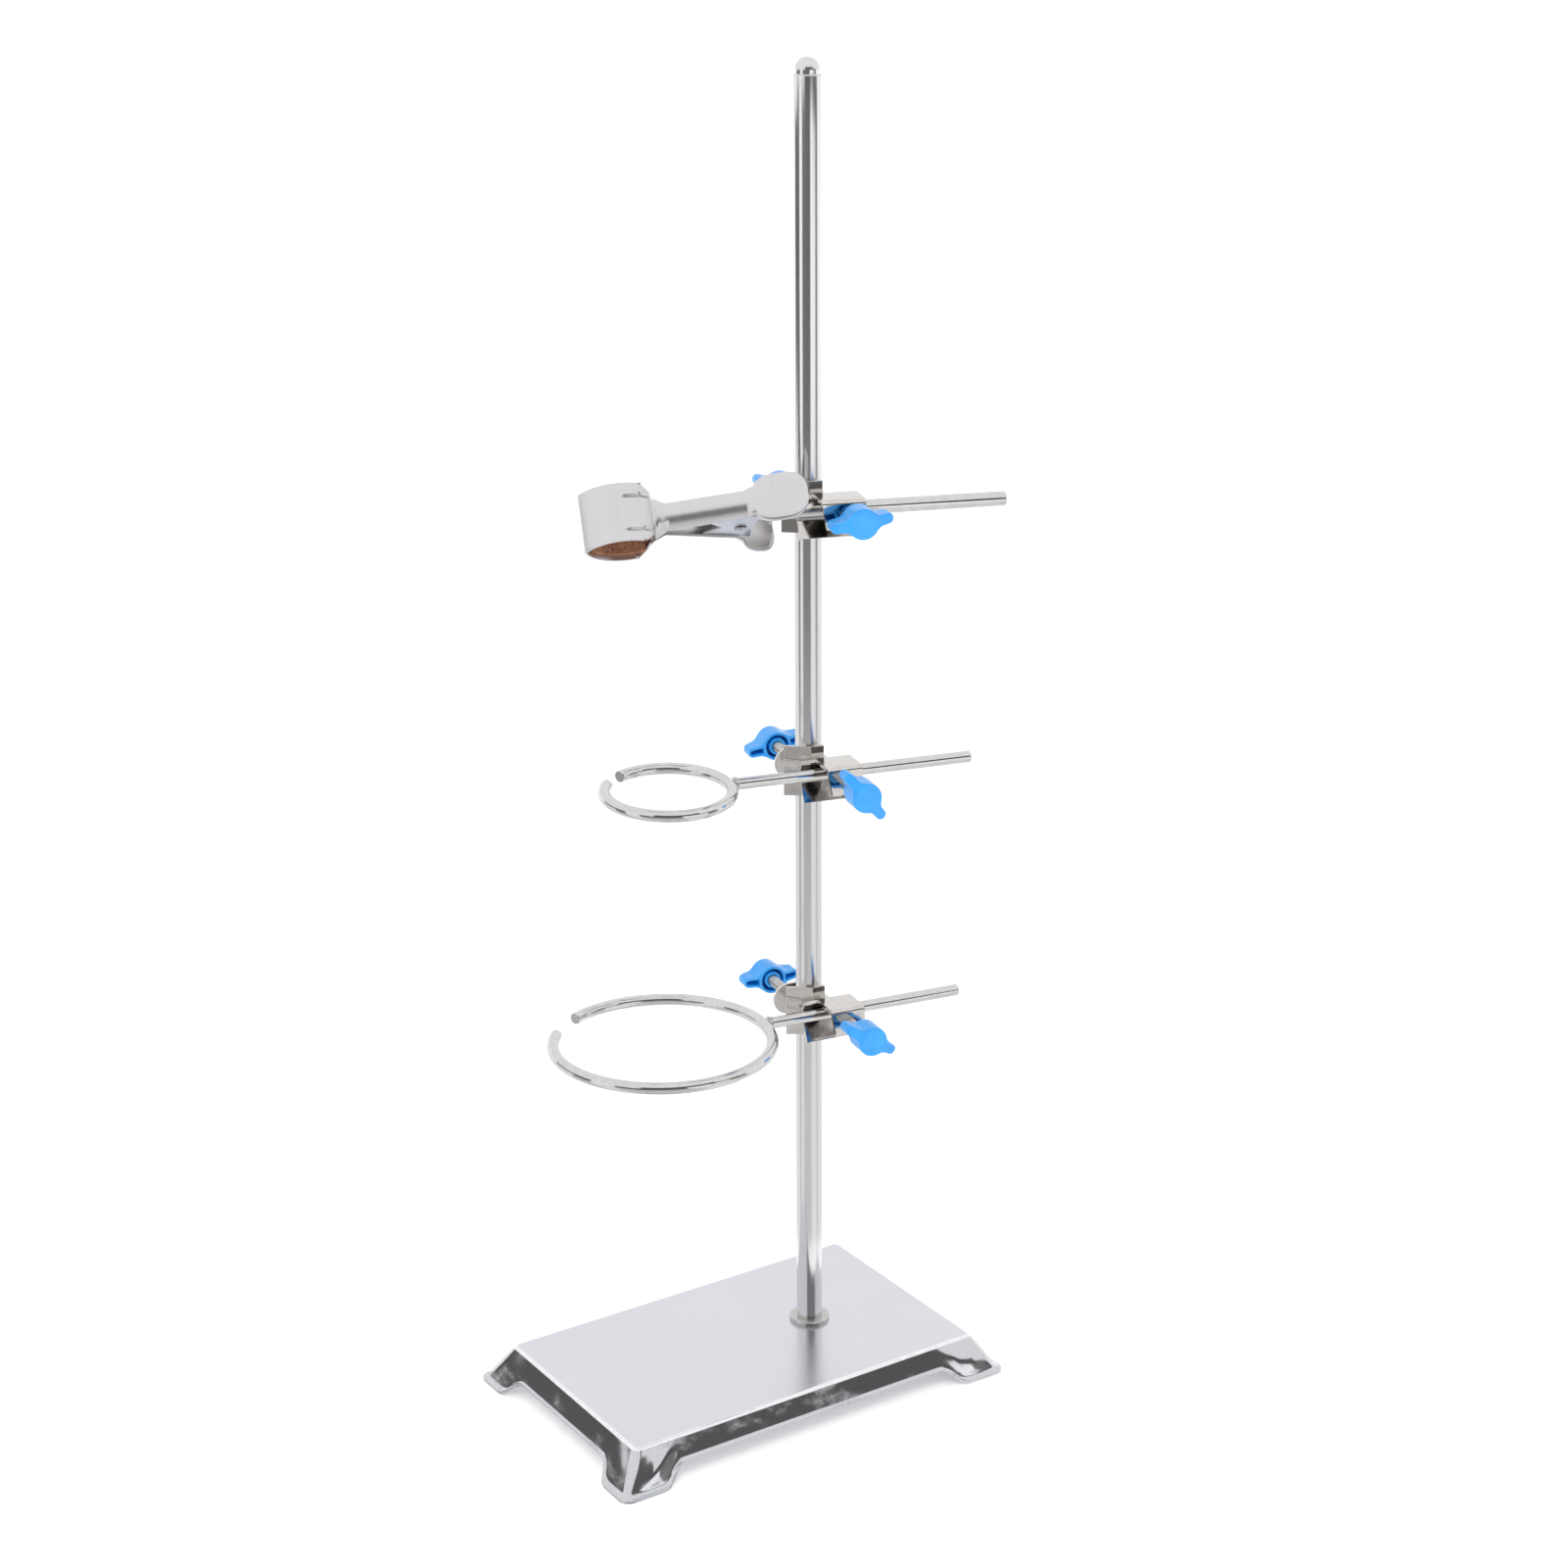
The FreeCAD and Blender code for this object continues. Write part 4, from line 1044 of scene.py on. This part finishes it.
# ================================================================ stage
def glow(name, stops):
    """A glow whose grey follows the distance from the post, as (distance, grey) pairs."""
    material = bpy.data.materials.new(name)
    material.use_nodes = True
    nodes, links = material.node_tree.nodes, material.node_tree.links
    nodes.remove(nodes["Principled BSDF"])
    space = nodes.new("ShaderNodeTexCoord").outputs["Object"]
    distance = nodes.new("ShaderNodeVectorMath")
    distance.operation = "DISTANCE"
    distance.inputs[1].default_value = (POST_X, 0, 0)
    links.new(space, distance.inputs[0])
    level = nodes.new("ShaderNodeFloatCurve")
    curve = level.mapping.curves[0]
    reach = stops[-1][0]
    for point, (place, grey) in zip(curve.points, (stops[0], stops[-1])):
        point.location = (place / reach, grey / GLOW_STRENGTH)
    for place, grey in stops[1:-1]:
        curve.points.new(place / reach, grey / GLOW_STRENGTH)
    for point in curve.points:
        point.handle_type = "VECTOR"
    level.mapping.update()
    scaled = nodes.new("ShaderNodeMath")
    scaled.operation = "DIVIDE"
    scaled.inputs[1].default_value = reach
    links.new(distance.outputs["Value"], scaled.inputs[0])
    links.new(scaled.outputs[0], level.inputs["Value"])
    source = nodes.new("ShaderNodeEmission")
    source.inputs["Strength"].default_value = GLOW_STRENGTH
    links.new(level.outputs[0], source.inputs["Color"])
    links.new(source.outputs[0], nodes["Material Output"].inputs["Surface"])
    return material


def floor():
    shader = Shader("pale_floor", Roughness=0.75)
    shader.principled.inputs["Specular IOR Level"].default_value = 0.2
    shader.principled.inputs["Emission Color"].default_value = (1, 1, 1, 1)
    shader.principled.inputs["Emission Strength"].default_value = FLOOR_GLOW
    cloud = shader.noise(shader.stretched((1, 1, 1)), scale=3.0, detail=2.0)
    shader.to(shader.ramp(cloud, [(0.3, FLOOR_GREY), (0.7, FLOOR_GREY + 0.005)]), "Base Color")
    size = FLOOR_SIZE / 2
    corners = [(x * size, y * size, FLOOR_Z) for x, y in ((-1, -1), (1, -1), (1, 1), (-1, 1))]
    new_object("floor", corners, [(0, 1, 2, 3)], shader.material)


def reflected_only(name, azimuth, half_width, inner, outer, material):
    """A strip round the post that only reflections see, between two (radius, height) points."""
    steps = max(8, int(half_width / 4))
    vertices = []
    for k in range(steps + 1):
        a = math.radians(VIEW_AZIMUTH - 90 + azimuth + half_width * (2 * k / steps - 1))
        for radius, z in (inner, outer):
            vertices.append((POST_X + radius * math.cos(a), radius * math.sin(a), z))
    faces = [(2 * k, 2 * k + 2, 2 * k + 3, 2 * k + 1) for k in range(steps)]
    panel = new_object("card_" + name, vertices, faces, material)
    panel.visible_camera = False
    panel.visible_diffuse = False
    panel.visible_shadow = False
    panel.visible_transmission = False


def key_light():
    data = bpy.data.lights.new("key", "AREA")
    data.shape = "RECTANGLE"
    data.size = data.size_y = KEY_SIZE
    data.energy = KEY_POWER
    light = linked("key", data)
    light.location = KEY_PLACE
    away = Vector(KEY_PLACE) - Vector(KEY_AIM)
    light.rotation_euler = away.to_track_quat("Z", "Y").to_euler()
    light.visible_camera = False
    light.visible_glossy = False


def camera():
    az, el = math.radians(VIEW_AZIMUTH), math.radians(VIEW_ELEVATION)
    aside = Vector((math.cos(az), math.sin(az), 0))
    toward = Vector((math.sin(az) * math.cos(el), -math.cos(az) * math.cos(el), math.sin(el)))
    place = VIEW_PIVOT + toward * VIEW_DISTANCE
    target = Vector((POST_X, 0, VIEW_TARGET_Z)) + aside * VIEW_SIDESTEP
    back = (place - target).normalized()
    right = Vector((0, 0, 1)).cross(back).normalized()
    up = back.cross(right)
    roll = math.radians(VIEW_ROLL)
    rolled_right = right * math.cos(roll) + up * math.sin(roll)
    rolled_up = up * math.cos(roll) - right * math.sin(roll)
    data = bpy.data.cameras.new("camera")
    data.lens = VIEW_LENS
    data.sensor_width = 36.0
    data.clip_start = 0.05
    data.clip_end = 200.0
    view = linked("camera", data)
    axes = Matrix((rolled_right, rolled_up, back)).transposed().to_4x4()
    view.matrix_world = Matrix.Translation(place) @ axes
    bpy.context.scene.camera = view


world = bpy.data.worlds.new("studio")
world.use_nodes = True
background = world.node_tree.nodes["Background"]
background.inputs["Color"].default_value = (1, 1, 1, 1)
background.inputs["Strength"].default_value = 1.0
bpy.context.scene.world = world
bpy.context.scene.view_settings.view_transform = "Standard"
floor()
for name, azimuth, half_width, distance, low, high, grey in CARDS:
    even = glow("glow_" + name, ((0.0, grey), (2 * distance, grey)))
    reflected_only(name, azimuth, half_width, (distance, low), (distance, high), even)
for name, azimuth, half_width, height, stops in FLOOR_CARDS:
    graded = glow("glow_" + name, stops)
    near, far = (stops[0][0], height), (stops[-1][0], height)
    reflected_only(name, azimuth, half_width, near, far, graded)
key_light()
camera()
